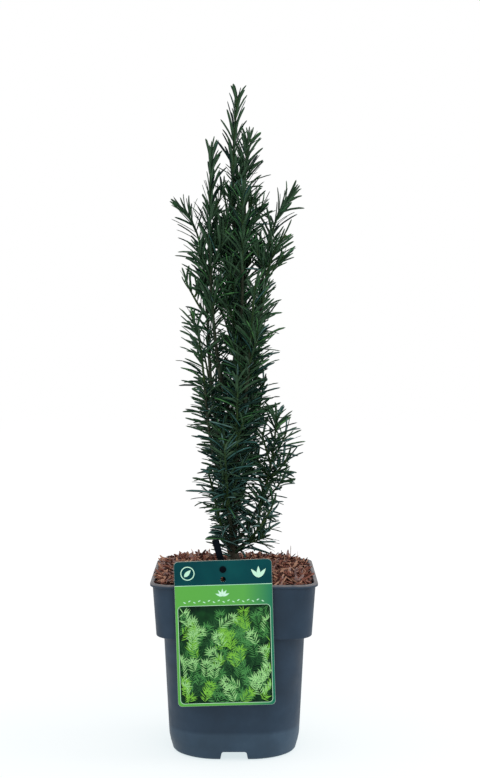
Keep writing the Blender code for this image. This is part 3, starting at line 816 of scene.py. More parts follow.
def build_boughs(boughs):
    skin = Skin()
    for bough in boughs:
        def radius_at(distance, turn, place):
            collar = math.exp(-distance / COLLAR_LENGTH)
            scar = max(0.0, noise.noise(place * 210) - 0.2)
            parts = (collar, ridges(place, 1100, 260), scar)
            relief = sum(share * part for share, part in zip(BOUGH_RELIEF, parts))
            return bough.radius(distance) * (1 + relief)

        skin.sleeve(limb_rings(bough.path, 0.0, bough.end + BOUGH_LAP, BOUGH_RINGS, radius_at))
    return bark_piece("bough_bark", skin, (24, 27, 21), (44, 50, 39), (68, 76, 62))


# The green length at the end of a leafy stem, and the least length that stays brown
GREEN_LENGTH = 0.060
BROWN_LENGTH = 0.004
# The bud's rings: rise above the shoot's tip, and spread as a share of the tip's radius
BUD = ((0.0004, 1.35), (0.0012, 1.55), (0.0021, 1.05))
BUD_HEIGHT = 0.0032


def build_stems(stems):
    """Leafy stems, browner at their feet and green near their tips, with a bud at each tip."""
    brown = Skin()
    green = Skin()
    for stem in stems:
        def radius_at(distance, turn, place):
            ribs = 0.10 * math.cos(5 * turn + distance * 420)
            swell = 0.07 * noise.noise(place * 480)
            return stem.radius(distance) * (1 + ribs + swell)

        turn_green = max(stem.start, stem.end - GREEN_LENGTH)
        if turn_green > stem.start + BROWN_LENGTH:
            brown.sleeve(limb_rings(stem.path, stem.start, turn_green, STEM_RINGS, radius_at))
        rings = limb_rings(stem.path, turn_green, stem.end, STEM_RINGS, radius_at)
        bud = stem.path.direction(stem.end)
        tip = stem.path.at(stem.end)
        spokes = [(point - tip).normalized() for point in rings[-1]]
        for rise, spread in BUD:
            rings.append([tip + bud * rise + spoke * STEM_TIP_RADIUS * spread for spoke in spokes])
        green.sleeve(rings, tip + bud * BUD_HEIGHT)
    old = bark_piece("stems_old", brown, (28, 32, 24), (48, 55, 42), (70, 78, 62))
    young = bark_piece("stems_young", green, (26, 44, 24), (40, 62, 32), (60, 78, 40))
    return old, young


# Needles

# Tints of the needles, each a dark and a light end. tint_of deals them out by a brightness that is partly
# tone at random and paler young tips and partly painted light and shade, so the brighter tints, fresh and
# teal_light, carry painted light, and the darker ones, deep and shade, carry painted shade
TINTS = {
    "fresh": ((48, 92, 52), (80, 128, 74)),
    "green": ((34, 72, 44), (56, 100, 61)),
    "deep": ((16, 46, 29), (33, 69, 45)),
    "teal_light": ((58, 88, 84), (90, 122, 117)),
    "teal": ((31, 64, 61), (55, 92, 87)),
    "shade": ((10, 29, 26), (20, 48, 43)),
}
UNDERSIDE = ((38, 60, 44), (60, 88, 63))
# Painted shade: the needles' edges are dark, as in the shade between crowded needles
NEEDLE_EDGE_SHADE = ((6, 20, 15), (15, 38, 29))


# Where needles begin to change towards the crown's foot, and over what height
LOW_START = 0.37
LOW_SPAN = 0.13

# Needles' angles from their stem in degrees. Of each pair, the first holds high in the crown, and the
# second is its gain low down
TIP_ANGLE = (14, 16)
FULL_ANGLE = (50, 26)
TUFT_ANGLE = (34, 28)
TUFT_LEAST_ANGLE = 5
ANGLE_SPREAD = 6
STRAY_SHARE = 0.07
STRAY_ANGLE = (12, 32)
# Distance from the tip over which needles open to their full angle, as such a pair
OPENING = (0.015, -0.007)
# Mean and spread of a needle's bend and roll in degrees, and spread of its sway
BEND = (22, 11)
ROLL = (46, 18)
SWAY_SPREAD = 0.07
# Length of the needles at the tip and at the foot of a stem as shares of full length
TIP_LENGTH = 0.66
FOOT_LENGTH = 0.80
FOOT_REACH = 0.008
LENGTH_SPREAD = (0.80, 1.08)
WIDTH_SPREAD = (0.85, 1.12)
SPACING_SPREAD = (0.7, 1.3)
TIP_SPACING = 0.75
FIRST_NEEDLE = 0.002

# Brightness of a needle's tint, partly painted light and shade: mean and spread, what the tips add, and the
# painted shade that the crown's top takes away and the painted light that its foot adds, each with a height
# and a span
BRIGHTNESS = (0.26, 0.55)
TIP_LIGHT = (1.2, -0.7)
TIP_LIGHT_REACH = 0.020
TOP_SHADE = (1.0, 0.40, 0.08)
FOOT_LIGHT = (0.75, 0.24, 0.04)
# Painted light on the plant's front and right sides, and painted shade at its back
SIDE_LIGHT = {"front": 0.15, "right": 0.15, "back": -0.1}
# Share of needles with a blue tint, as a pair, and how much lower than other changes it begins
BLUE_SHARE = (0.18, 0.78)
BLUE_LOWER = 0.01
# Least brightness of each step, with its green and its blue tint
TINT_STEPS = ((0.95, ("fresh", "teal_light")), (0.25, ("green", "teal")), (-0.25, ("deep", "shade")))


def lowness(height):
    """1 low down, where needles stand out level and look bluer, and 0 in the upper crown."""
    return clamp((LOW_START - height) / LOW_SPAN)


def at_level(pair, low):
    value, gain = pair
    return value + gain * low


def grown(distance, reach):
    """0 at first, and near 1 a few reaches further on."""
    return 1 - math.exp(-distance / reach)


def needle_rule(stem, distance, rng):
    """How one needle stands: its angle from the stem, bend and length."""
    to_tip = stem.tip - distance
    low = lowness(stem.path.at(distance).z)
    tip_angle = at_level(TIP_ANGLE, low)
    fullness = grown(to_tip, at_level(OPENING, low))
    angle = tip_angle + (at_level(FULL_ANGLE, low) - tip_angle) * fullness
    chord = angle * stem.spread + rng.gauss(0, ANGLE_SPREAD)
    if to_tip < TIP_TUFT:
        chord = rng.uniform(TUFT_LEAST_ANGLE, at_level(TUFT_ANGLE, low))
    elif rng.random() < STRAY_SHARE:
        chord += rng.uniform(*STRAY_ANGLE)
    bend = rng.gauss(*BEND)
    length = NEEDLE_LENGTH * (TIP_LENGTH + (1 - TIP_LENGTH) * fullness)
    length *= FOOT_LENGTH + (1 - FOOT_LENGTH) * grown(distance - stem.start, FOOT_REACH)
    length *= rng.uniform(*LENGTH_SPREAD)
    return math.radians(chord), math.radians(bend), length


def tint_of(stem, distance, height, rng):
    """Deal out the tints: fresh at the tips, with painted shade at the crown's top and back and painted
    light at its foot, front and right, and bluer low down.
    """
    tip_share = math.exp(-(stem.tip - distance) / TIP_LIGHT_REACH)
    brightness = at_level(TIP_LIGHT, lowness(height)) * tip_share + rng.gauss(*BRIGHTNESS)
    amount, start, span = TOP_SHADE
    brightness -= amount * clamp((height - start) / span)
    brightness += SIDE_LIGHT.get(stem.name.split("_")[0], 0.0)
    amount, start, span = FOOT_LIGHT
    brightness += amount * clamp((start - height) / span)
    blue = rng.random() < at_level(BLUE_SHARE, lowness(height + BLUE_LOWER))
    for least, tints in TINT_STEPS:
        if brightness > least:
            return tints[blue]
    return "shade"


def grow_needles(stems):
    """Place needles spirally along every leafy stretch and give them as rows by tint."""
    rng = random.Random(SEED)
    rows = {tint: [] for tint in TINTS}
    roll_mean, roll_spread = (math.radians(angle) for angle in ROLL)
    for stem in stems:
        distance = stem.start + FIRST_NEEDLE
        turn = rng.uniform(0, 2 * math.pi)
        while distance < stem.end:
            along = stem.path.direction(distance)
            side = Matrix.Rotation(turn, 3, along) @ along.orthogonal().normalized()
            lean = math.sqrt(max(0.0, 1 - along.z ** 2))
            if side.z < 0:
                # Needles under a leaning stem turn aside, into two loose ranks
                side = (side - Vector((0, 0, 0.8 * lean * side.z))).normalized()
            chord, bend, length = needle_rule(stem, distance, rng)
            root = stem.path.at(distance) + side * stem.radius(distance) * 0.5
            roll = rng.choice((-1, 1)) * rng.gauss(roll_mean, roll_spread)
            sway = rng.gauss(0, SWAY_SPREAD)
            width = NEEDLE_WIDTH * rng.uniform(*WIDTH_SPREAD)
            tint = tint_of(stem, distance, root.z, rng)
            rows[tint].append((*root, *along, *side, chord, bend, roll, sway, length, width, rng.random()))
            closeness = TIP_SPACING + (1 - TIP_SPACING) * grown(stem.tip - distance, FOOT_REACH)
            distance += NEEDLE_SPACING * closeness / stem.fullness * rng.uniform(*SPACING_SPREAD)
            turn += GOLDEN_ANGLE + rng.gauss(0, 0.10)
    return {tint: np.array(found) for tint, found in rows.items()}


def needle_shapes(rows):
    """Points of all needles: an array of needle, station, section point and coordinate."""
    root, along, side = rows[:, None, 0:3], rows[:, None, 3:6], rows[:, None, 6:9]
    chord, bend, roll, sway, length, width, _ = rows[:, 9:16].T[..., None]
    stations = np.array(NEEDLE_STATIONS)
    fine = np.linspace(0, 1, BEND_STEPS + 1)
    angle = chord + bend * (fine - 0.5)

    def bent(part):
        """How far the stations lie out in one direction, as shares of the length."""
        pace = part(angle)
        steps = np.cumsum((pace[:, 1:] + pace[:, :-1]) / 2, 1) / BEND_STEPS
        whole = np.concatenate([np.zeros((len(rows), 1)), steps], 1)
        return np.stack([np.interp(stations, fine, row) for row in whole])[..., None]

    third = np.cross(along, side)
    scale = length[..., None]
    centre = root + scale * (bent(np.cos) * along + bent(np.sin) * side)
    centre = centre + scale * (sway * stations ** 2)[..., None] * third
    heading = (chord + bend * (stations - 0.5))[..., None]
    upper = np.sin(heading) * along - np.cos(heading) * side
    turn_c, turn_s = np.cos(roll)[..., None], np.sin(roll)[..., None]
    top = upper * turn_c + third * turn_s
    flank = third * turn_c - upper * turn_s
    profile = np.array(NEEDLE_PROFILE)
    half = width / 2 * profile
    thick = NEEDLE_THICKNESS * np.minimum(1.0, profile * NEEDLE_BLUNTNESS)
    points = []
    for x, y in NEEDLE_SECTION:
        points.append(centre + flank * (half * x)[..., None] + top * (thick * y)[..., None])
    return np.stack(points, axis=2)


def needle_mesh(name, shapes):
    """Join needles into one mesh, whose faces take the skins of the needles' section."""
    count, stations, around, _ = shapes.shape
    quads = [face for level in range(stations - 1) for face in ring_faces(level * around, around)]
    first = np.arange(count) * stations * around
    quads = (first[:, None, None] + np.array(quads)[None]).reshape(-1, 4)
    feet = [tuple(start + i for i in reversed(range(around))) for start in first]
    last = (stations - 1) * around
    tips = [tuple(start + last + i for i in range(around)) for start in first]
    mesh = mesh_from(name, shapes.reshape(-1, 3).tolist(), quads.tolist() + feet + tips)
    skins = NEEDLE_SKINS * (stations - 1) * count + (0,) * len(feet + tips)
    mesh.polygons.foreach_set("material_index", np.array(skins, np.int32))
    return mesh


def inside_crown(places, chance=0.99):
    """Whether places lie within the crown's reach and outside the gaps that show sky."""
    heights, left, right = np.array(REACH).T
    x, z = places[:, 0], places[:, 2]
    inside = (x > np.interp(z, heights, left)) & (x < np.interp(z, heights, right))
    for gap_left, gap_right, low, high, kept in SKY_GAPS:
        inside &= ~((x > gap_left) & (x < gap_right) & (z > low) & (z < high) & (chance > kept))
    return inside


def limb_points(trunk, boughs):
    """Samples of the woody limbs, each with the room that needles keep from its axis."""
    places = [(point, trunk_radius(point.z)) for point in trunk.part(0, trunk.length, LIMB_STEP)]
    for bough in boughs:
        places += [(point, BOUGH_FOOT_RADIUS) for point in bough.path.part(0, bough.end, LIMB_STEP)]
    return np.array([p for p, _ in places]), np.array([r for _, r in places])


def needles_fit(shapes, chance, limbs):
    """Whether needles stay in the crown, above the mulch and clear of the limbs."""
    centre = shapes.mean(axis=2)
    points, radii = limbs
    fit = centre[:, -1, 2] > MULCH_TOP_Z - 0.001
    for share in CROWN_SHARES:
        station = np.searchsorted(NEEDLE_STATIONS, share)
        low, high = NEEDLE_STATIONS[station - 1:station + 1]
        blend = (share - low) / (high - low)
        fit &= inside_crown(centre[:, station - 1] * (1 - blend) + centre[:, station] * blend, chance)
    for station in OUTER_STATIONS:
        gaps = np.linalg.norm(centre[:, station, None, :] - points[None], axis=2) - radii[None]
        fit &= gaps.min(axis=1) > GAP
    return fit


def fitted_needles(rows, limbs):
    """The needles' shapes; those that would reach too far are shortened or left out."""
    found = []
    for share in SHORTENINGS:
        tried = rows.copy()
        tried[:, LENGTH_COLUMN] *= share
        shapes = needle_shapes(tried)
        fit = needles_fit(shapes, rows[:, CHANCE_COLUMN], limbs)
        found.append(shapes[fit])
        rows = rows[~fit]
    return np.concatenate(found)


def build_needles(trunk, boughs, stems):
    limbs = limb_points(trunk, boughs)
    leafy = list(stems)
    radii = (TRUNK_FOOT_RADIUS, TRUNK_TIP_RADIUS)
    for start, end, stance in TRUNK_NEEDLES:
        leafy.append(Stem("trunk", trunk, start, end or trunk.length, radii, stance))
    for bough in boughs:
        leafy.append(Stem(bough.name, bough.path, BOUGH_NEEDLES_START, bough.end, bough.radii, BOUGH_STANCE))
    under = plain("needle", "needle_underside", *UNDERSIDE, roughness=0.55)
    # The needles' edges get the painted shade
    edge = plain("needle", "needle_edge", *NEEDLE_EDGE_SHADE, roughness=0.50)
    pieces = []
    for tint, rows in grow_needles(leafy).items():
        mesh = needle_mesh("needles_" + tint, fitted_needles(rows, limbs))
        top = plain("needle", "needle_" + tint, *TINTS[tint])
        pieces.append(new_object("needles_" + tint, mesh, top, under, edge))
    return pieces


# Pot and mulch

def rounded_square(half, corner, z, corner_steps=12, flat_steps=8):
    ring = []
    for quarter in range(4):
        centre = level_way(math.pi / 2 * quarter + math.pi / 4) * (half - corner) * math.sqrt(2)
        for step in range(corner_steps + 1):
            turn = math.pi / 2 * (quarter + step / corner_steps)
            ring.append(centre + level_way(turn) * corner + Vector((0, 0, z)))
        start = ring[-1]
        onward = level_way(turn + math.pi / 2)
        span = 2 * (half - corner)
        for step in range(1, flat_steps):
            ring.append(start + onward * span * step / flat_steps)
    return ring


def rounding(inner, outer, corner, z_low, z_high, steps=4):
    """A quarter round from a lower, smaller ring to an upper, larger one."""
    rows = []
    for i in range(steps + 1):
        turn = math.pi / 2 * i / steps
        half = inner + (outer - inner) * math.sin(turn)
        rows.append((half, corner, z_low + (z_high - z_low) * (1 - math.cos(turn))))
    return rows


def straight(first, last, count):
    """Even steps from one level to another, without the first."""
    return [tuple(a + (b - a) * (i / count) for a, b in zip(first, last)) for i in range(1, count + 1)]


def cut(item, bm, name):
    """Subtract a shape from a mesh object."""
    cutter = new_object(name, mesh_of(bm, name))
    modified(item, "BOOLEAN", operation="DIFFERENCE", solver="EXACT", object=cutter)
    bpy.data.objects.remove(cutter, do_unlink=True)


def same(edge, axis):
    """Whether both ends of an edge have the same place on an axis."""
    return abs(getattr(edge.verts[0].co, axis) - getattr(edge.verts[1].co, axis)) < 1e-6


def notch_cutter(number):
    bm = bmesh.new()
    size = Matrix.Diagonal((NOTCH_DEPTH * 2, NOTCH_WIDTH, NOTCH_HEIGHT * 2, 1))
    bmesh.ops.create_cube(bm, size=1.0, matrix=size)
    for vert in bm.verts:
        if vert.co.z < 0:
            vert.co.y += math.copysign(NOTCH_FLARE * 2, vert.co.y)
    top = [e for e in bm.edges if all(v.co.z > 0 for v in e.verts) and same(e, "y")]
    bmesh.ops.bevel(bm, geom=top, offset=NOTCH_ROUND, segments=5, affect="EDGES", profile=0.5)
    bm.transform(Matrix.Translation((BASE_HALF, 0, 0)))
    bm.transform(Matrix.Rotation(math.pi / 2 * number, 4, "Z"))
    return bm


def build_pot():
    """Levels of (half width, corner radius, height) up the outside and down the inside, less the notches."""
    base_half = BASE_HALF + BASE_SPREAD
    outside = rounding(BASE_HALF - BASE_ROUND_IN, base_half, BASE_CORNER, 0.0, BASE_ROUND)
    for share in (0.35, 0.7, 1.0):
        half = base_half + (BODY_LOW_HALF - base_half) * math.sin(share * math.pi / 2)
        outside.append((half, BASE_CORNER, BASE_ROUND + (BODY_LOW_Z - BASE_ROUND) * share))
    body_low = (BODY_LOW_HALF, BASE_CORNER, BODY_LOW_Z)
    outside += straight(body_low, (BODY_TOP_HALF, BODY_CORNER, SKIRT_FOOT_Z), 8)
    skirt_z = SKIRT_FOOT_Z + SKIRT_ROUND
    outside += rounding(SKIRT_FOOT_HALF - SKIRT_ROUND, SKIRT_FOOT_HALF, SKIRT_CORNER, SKIRT_FOOT_Z, skirt_z)
    top = POT_HEIGHT - RIM_DEPTH
    outside += straight((SKIRT_FOOT_HALF, SKIRT_CORNER, skirt_z), (SKIRT_TOP_HALF, RIM_CORNER, top), 5)
    outside += rounding(SKIRT_TOP_HALF + 0.0002, RIM_HALF, RIM_CORNER, top, top + RIM_ROUND, 3)
    for inward, drop in RIM_EDGE:
        outside.append((RIM_HALF - inward, RIM_CORNER, POT_HEIGHT - drop))
    room = SKIRT_TOP_HALF - WALL
    inside = [
        (room + 0.0005, RIM_CORNER - WALL, POT_HEIGHT),
        (room, RIM_CORNER - WALL, POT_HEIGHT - 0.0006),
        (SKIRT_FOOT_HALF - WALL, SKIRT_CORNER - WALL, SKIRT_FOOT_Z + WALL),
        (BODY_TOP_HALF - WALL, BODY_CORNER - WALL, SKIRT_FOOT_Z + WALL),
        (BODY_LOW_HALF - WALL, BASE_CORNER - WALL, BODY_LOW_Z),
        (BASE_HALF, BASE_CORNER, FLOOR),
    ]
    rings = [rounded_square(*level) for level in outside + inside]
    pot = new_object("pot_shell", solid_of("pot_shell", rings))
    for number in range(4):
        cut(pot, notch_cutter(number), "notch")
    pot.data = mesh_of(bmesh_of(pot.data), "pot_shell", 40)
    pot.data.materials.append(pot_plastic())
    return pot


def squared_reach(x, y):
    """Distance from the middle in the pot's rounded square sense."""
    n = MULCH_SQUARENESS
    return (abs(x) ** n + abs(y) ** n) ** (1 / n)


def heap_height(x, y):
    """The level of the mulch at a place in the pot: brimful, and heaped to the left and behind."""
    outward = min(squared_reach(x, y) / MULCH_HALF, 1.0)
    swell = HEAP_WAVES * noise.noise(Vector((x * HEAP_WAVES_SCALE, y * HEAP_WAVES_SCALE, 3.7)))
    leftward = clamp((0.012 - x) / 0.045)
    backward = clamp((y + 0.030) / 0.060)
    swell += LEFT_RISE * leftward + CORNER_RISE * leftward * backward + BACK_RISE * backward
    swell -= CORNER_FALL * clamp((x - 0.045) / 0.015) * backward
    return MULCH_BRIM_Z + (MULCH_TOP_Z - MULCH_BRIM_Z) * (1 - outward ** MULCH_FULLNESS) + swell


def build_soil():
    """A grid squeezed into the pot's rounded square under the splinters, with sides and a base."""
    half = MULCH_HALF + 0.0006
    shares = [i / SOIL_STEPS * 2 - 1 for i in range(SOIL_STEPS + 1)]
    bm = bmesh.new()
    rows = []
    for down in shares:
        rows.append([])
        for across in shares:
            pull = half * max(abs(across), abs(down)) / max(1e-9, squared_reach(across, down))
            x, y = across * pull, down * pull
            rows[-1].append(bm.verts.new((x, y, heap_height(x, y) - SOIL_DROP)))
    for near, far in zip(rows, rows[1:]):
        for i in range(SOIL_STEPS):
            bm.faces.new((near[i], near[i + 1], far[i + 1], far[i]))
    made = bmesh.ops.extrude_edge_only(bm, edges=[e for e in bm.edges if e.is_boundary])
    for part in made["geom"]:
        if isinstance(part, bmesh.types.BMVert):
            part.co.z = MULCH_EDGE_Z - SOIL_DEPTH
    bmesh.ops.contextual_create(bm, geom=[e for e in bm.edges if e.is_boundary])
    bmesh.ops.recalc_face_normals(bm, faces=bm.faces)
    skin = plain("soil", "soil", (28, 17, 14), (74, 44, 34))
    return new_object("mulch_soil", mesh_of(bm, "mulch_soil", 60), skin)


# Splinters of mulch: dark colour, light colour and share of the mulch
CHIPS = {
    "chips_red": ((90, 53, 46), (148, 99, 84), 0.36),
    "chips_tan": ((134, 97, 80), (196, 154, 130), 0.24),
    "chips_dark": ((34, 20, 19), (76, 48, 42), 0.22),
    "chips_grey": ((102, 82, 80), (158, 132, 127), 0.18),
}
# A splinter's rings, by share of its length and size, and its corners
CHIP_STATIONS = ((-0.5, 0.35), (-0.38, 0.9), (-0.1, 1.0), (0.2, 1.0), (0.40, 0.8), (0.5, 0.25))
CHIP_CORNERS = ((-1, -1), (1, -1), (1, 1), (-1, 1))
CHIP_COUNT = 2300
CHIP_LENGTH = (0.0060, 0.0180)
CHIP_WIDTH = (0.0007, 0.0026)
CHIP_THICKNESS = (0.30, 0.60)
CHIP_CURL = (-0.10, 0.18)
CHIP_ROLL = 0.9
CHIP_SPREAD = (0.78, 1.15)
STANDING_SHARE = 0.14
# Spread of the slopes of lying and standing splinters
LYING_SLOPE = 0.34
STANDING_SLOPE = 0.80
# Room round the stake, half across and behind it, and round the trunk's axis
STAKE_ROOM = (0.010, 0.006)
TRUNK_ROOM = 0.0062

# Single pieces that stand up out of the mulch: (kind, x, y, heading, slope, length, width)
STANDING = (
    ("chips_dark", -0.0290, 0.0100, 0.2, 0.95, 0.0150, 0.0022),
    ("chips_tan", -0.0360, 0.0250, 2.6, 1.10, 0.0110, 0.0014),
    ("chips_grey", 0.0500, 0.0380, 1.3, 1.45, 0.0160, 0.0006),
    ("chips_tan", 0.0560, 0.0400, 0.9, 1.35, 0.0120, 0.0005),
    ("chips_dark", 0.0430, 0.0330, 2.2, 1.00, 0.0110, 0.0014),
    ("chips_red", -0.0620, -0.0380, 2.9, 0.70, 0.0120, 0.0020),
)


def chip(rng, skin, place, heading, slope, length, width):
    """One splinter of bark: a bent, uneven strip with ragged ends, kept inside the rim."""
    level = level_way(heading)
    along = level * math.cos(slope) + Vector((0, 0, math.sin(slope)))
    roll = rng.uniform(-CHIP_ROLL, CHIP_ROLL)
    across = Matrix.Rotation(roll, 3, along) @ Vector((-level.y, level.x, 0))
    up = along.cross(across)
    thick = width * rng.uniform(*CHIP_THICKNESS)
    curl = rng.uniform(*CHIP_CURL)
    rings = []
    for share, size in CHIP_STATIONS:
        middle = place + along * length * share + up * curl * length * (share * share - 0.08)
        ring = []
        for a, b in CHIP_CORNERS:
            spread = size * rng.uniform(*CHIP_SPREAD)
            point = middle + across * a * width / 2 * spread + up * b * thick / 2 * spread
            limit = RIM_HALF - 0.0012 if point.z > POT_HEIGHT + 0.0002 else MULCH_HALF + 0.0003
            reach = squared_reach(point.x, point.y)
            if reach > limit:
                point.x *= limit / reach
                point.y *= limit / reach
            ring.append(point)
        rings.append(ring)
    skin.sleeve(rings)


def build_chips():
    """Splinters strewn at random but for the stake's and the trunk's places, and the standing pieces."""
    rng = random.Random(SEED + 5)
    skins = {name: Skin() for name in CHIPS}
    shares = [share for _, _, share in CHIPS.values()]
    foot = trunk_axis(TRUNK_FOOT_Z)
    placed = 0
    while placed < CHIP_COUNT:
        x = rng.uniform(-MULCH_HALF, MULCH_HALF)
        y = rng.uniform(-MULCH_HALF, MULCH_HALF)
        at_stake = abs(x - PEG_PLACE.x) < STAKE_ROOM[0] and y < STAKE_Y + STAKE_ROOM[1]
        at_trunk = math.hypot(x - foot.x, y - foot.y) < TRUNK_ROOM
        if squared_reach(x, y) > MULCH_HALF - 0.0008 or at_stake or at_trunk:
            continue
        name = rng.choices(list(CHIPS), shares)[0]
        standing = rng.random() < STANDING_SHARE
        slope = rng.gauss(0, STANDING_SLOPE if standing else LYING_SLOPE)
        length = rng.uniform(*CHIP_LENGTH) * (0.75 if standing else 1.0)
        lift = rng.uniform(-0.0014, 0.0012) + (0.0012 if standing else 0.0)
        place = Vector((x, y, heap_height(x, y) + lift))
        chip(rng, skins[name], place, rng.uniform(0, 2 * math.pi), slope, length, rng.uniform(*CHIP_WIDTH))
        placed += 1
    for name, x, y, heading, slope, length, width in STANDING:
        place = Vector((x, y, heap_height(x, y) + length * 0.3))
        chip(rng, skins[name], place, heading, slope, length, width)
    pieces = []
    for name, skin in skins.items():
        mesh = mesh_from(name, skin.points, skin.faces, smooth=False)
        pieces.append(new_object(name, mesh, plain("chip", name, *CHIPS[name][:2])))
    return pieces


# Label

# How far the card's top corners turn, its top edge waves and its lower right corner turns forward
TOP_CURL = 0.0016
TOP_WAVE = 0.0003
TOP_WAVE_SCALE = 120
FOOT_CURL = 0.0012
# The printed picture, in the card's own flat frame: half width, half height and middle height
PANEL_HALF = 0.0376
PANEL_HALF_HEIGHT = 0.0402
PANEL_Y = -0.0174
PANEL_CORNER = 0.0030
FRAME_WIDTH = 0.0004
# Levels of the card's sheet and of one printed layer above its plane
SHEET_LEVEL = -0.00004
PRINT_LEVEL = 0.00003
PRINT_MARGIN = 0.00015
PRINT_STEP = 0.003
GOLDEN_SHARE = 0.618034
HOLE_STEPS = 32
HEADER_DEPTH = 0.0200
LINE_WIDTH = 0.0005

# Layers of the picture, back to front: (name, sprigs, size, darker half, lighter half)
PICTURE = (
    ("back", 60, 0.95, (12, 42, 24), (34, 80, 40)),
    ("middle", 48, 0.90, (36, 92, 44), (74, 138, 70)),
    ("lime", 26, 0.85, (84, 150, 44), (124, 186, 66)),
    ("front", 24, 0.95, (88, 152, 76), (162, 210, 142)),
)
PRINT_DRIFT = 14
# A sprig at size 1: its leaves, the pairs' spacing, and the leaves of its tuft
LEAF_LENGTH = 0.0078
LEAF_WIDTH = 0.0008
PAIR_SPACING = 0.0020
TUFT_LEAVES = 9
TUFT_LENGTH = 0.0066
TUFT_TURN = 0.45


def card_matrix():
    upright = Matrix.Rotation(-CARD_TILT, 4, "Y") @ Matrix.Rotation(math.pi / 2, 4, "X")
    peg = PEG_PLACE + Vector((0, CARD_FRONT_Y, 0))
    middle = Matrix.Translation((0, -(CARD_HEIGHT / 2 - CARD_PEG_DROP), 0))
    return Matrix.Translation(peg) @ upright @ middle


def card_bend(u, v):
    """How far the card stands forward of its plane."""
    top = max(0.0, v - CARD_HEIGHT / 4) / (CARD_HEIGHT / 4)
    aside = u / (CARD_WIDTH / 2)
    curl = TOP_CURL * top ** 2 * -aside
    wave = TOP_WAVE * math.sin(u * TOP_WAVE_SCALE) * top
    foot = FOOT_CURL * max(0.0, -v / (CARD_HEIGHT / 2)) ** 2 * max(0.0, aside)
    return curl + wave + foot


def disc(x, y, radius, steps):
    turns = [2 * math.pi * i / steps for i in range(steps)]
    return [(x + radius * math.cos(turn), y + radius * math.sin(turn)) for turn in turns]


def rounded_outline(half_w, half_h, corner, y=0.0, steps=6):
    """A rounded rectangle round a height on the card's middle line."""
    points = []
    for quarter, (sx, sy) in enumerate(((1, 1), (-1, 1), (-1, -1), (1, -1))):
        for step in range(steps + 1):
            turn = math.pi / 2 * (quarter + step / steps)
            across = sx * (half_w - corner) + corner * math.cos(turn)
            points.append((across, y + sy * (half_h - corner) + corner * math.sin(turn)))
    return points


def filled(outline, holes):
    """A flat mesh of an outline with round holes, each a (height, radius) on the middle line."""
    curve = bpy.data.curves.new("outline", "CURVE")
    curve.dimensions = "2D"
    curve.fill_mode = "FRONT"
    for points in [outline] + [disc(0.0, height, radius, HOLE_STEPS) for height, radius in holes]:
        spline = curve.splines.new("POLY")
        spline.points.add(len(points) - 1)
        for spot, (x, y) in zip(spline.points, points):
            spot.co = (x, y, 0, 1)
        spline.use_cyclic_u = True
    item = new_object("outline", curve)
    mesh = evaluated_mesh(item)
    flat = bmesh_of(mesh)
    bpy.data.objects.remove(item, do_unlink=True)
    bpy.data.meshes.remove(mesh)
    return flat


def print_layer(bm, outline, level, holes=()):
    """Lay a flat outline on the bent card, cut up finely enough to follow it."""
    if holes:
        flat = filled(outline, holes)
    else:
        flat = bmesh.new()
        flat.faces.new([flat.verts.new((x, y, 0)) for x, y in outline])
    for axis in (0, 1):
        places = [point[axis] for point in outline]
        normal = Vector((1 - axis, axis, 0))
        for i in range(1, int((max(places) - min(places)) / PRINT_STEP) + 1):
            everything = flat.verts[:] + flat.edges[:] + flat.faces[:]
            place = normal * (min(places) + PRINT_STEP * i)
            bmesh.ops.bisect_plane(flat, geom=everything, plane_co=place, plane_no=normal)
    bmesh.ops.recalc_face_normals(flat, faces=flat.faces)
    place = card_matrix()
    found = {}
    for vert in flat.verts:
        u, v = vert.co.x, vert.co.y
        found[vert] = bm.verts.new(place @ Vector((u, v, card_bend(u, v) + level)))
    for face in flat.faces:
        corners = [found[vert] for vert in face.verts]
        if face.normal.z < 0:
            corners.reverse()
        bm.faces.new(corners)
    flat.free()


def printed_piece(name, outlines, steps, material, holes=(), depth=0.0):
    """Flat printed shapes as one piece, some steps above the card.

    The depth spreads the shapes over small levels, so that none coincide.
    """
    bm = bmesh.new()
    for number, outline in enumerate(outlines):
        rise = depth * (number * GOLDEN_SHARE % 1.0)
        print_layer(bm, outline, PRINT_LEVEL * steps + rise, holes)
    for face in bm.faces:
        face.smooth = True
    return new_object(name, mesh_of(bm, name), material)


def turned(points, x, y, heading):
    c, s = math.cos(heading), math.sin(heading)
    return [(x + a * c - b * s, y + a * s + b * c) for a, b in points]


def half_leaf(x, y, heading, length, width, hand):
    """One side of a narrow leaf, from its rib to its edge; hand is 1 for the left side."""
    edge = [(length * i / 6, hand * width / 2 * math.sin(math.pi * (i / 6) ** 0.8)) for i in range(7)]
    return turned(edge if hand < 0 else edge[::-1], x, y, heading)


def whole_leaf(x, y, heading, length, width):
    left = half_leaf(x, y, heading, length, width, 1)
    right = half_leaf(x, y, heading, length, width, -1)
    return left[:-1] + right[:-1]


def sprig(rng, x, y, heading, size):
    """Leaves of one printed sprig, in pairs along a bent stem, with a tuft at its tip."""
    bend = rng.uniform(-0.09, 0.09)
    leaves = []
    for _ in range(rng.randint(4, 9)):
        for hand in (-1, 1):
            turn = heading + hand * rng.uniform(0.65, 1.05)
            length = LEAF_LENGTH * size * rng.uniform(0.7, 1.15)
            leaves.append((x, y, turn, length, LEAF_WIDTH * size))
        x += math.cos(heading) * PAIR_SPACING * size
        y += math.sin(heading) * PAIR_SPACING * size
        heading += bend
    for i in range(TUFT_LEAVES):
        turn = heading + (i - TUFT_LEAVES // 2) * TUFT_TURN + rng.uniform(-0.15, 0.15)
        length = TUFT_LENGTH * size * rng.uniform(0.7, 1.1)
        leaves.append((x, y, turn, length, LEAF_WIDTH * size))
    return leaves


def inside_panel(outline):
    return all(abs(x) < PANEL_HALF and abs(y - PANEL_Y) < PANEL_HALF_HEIGHT for x, y in outline)


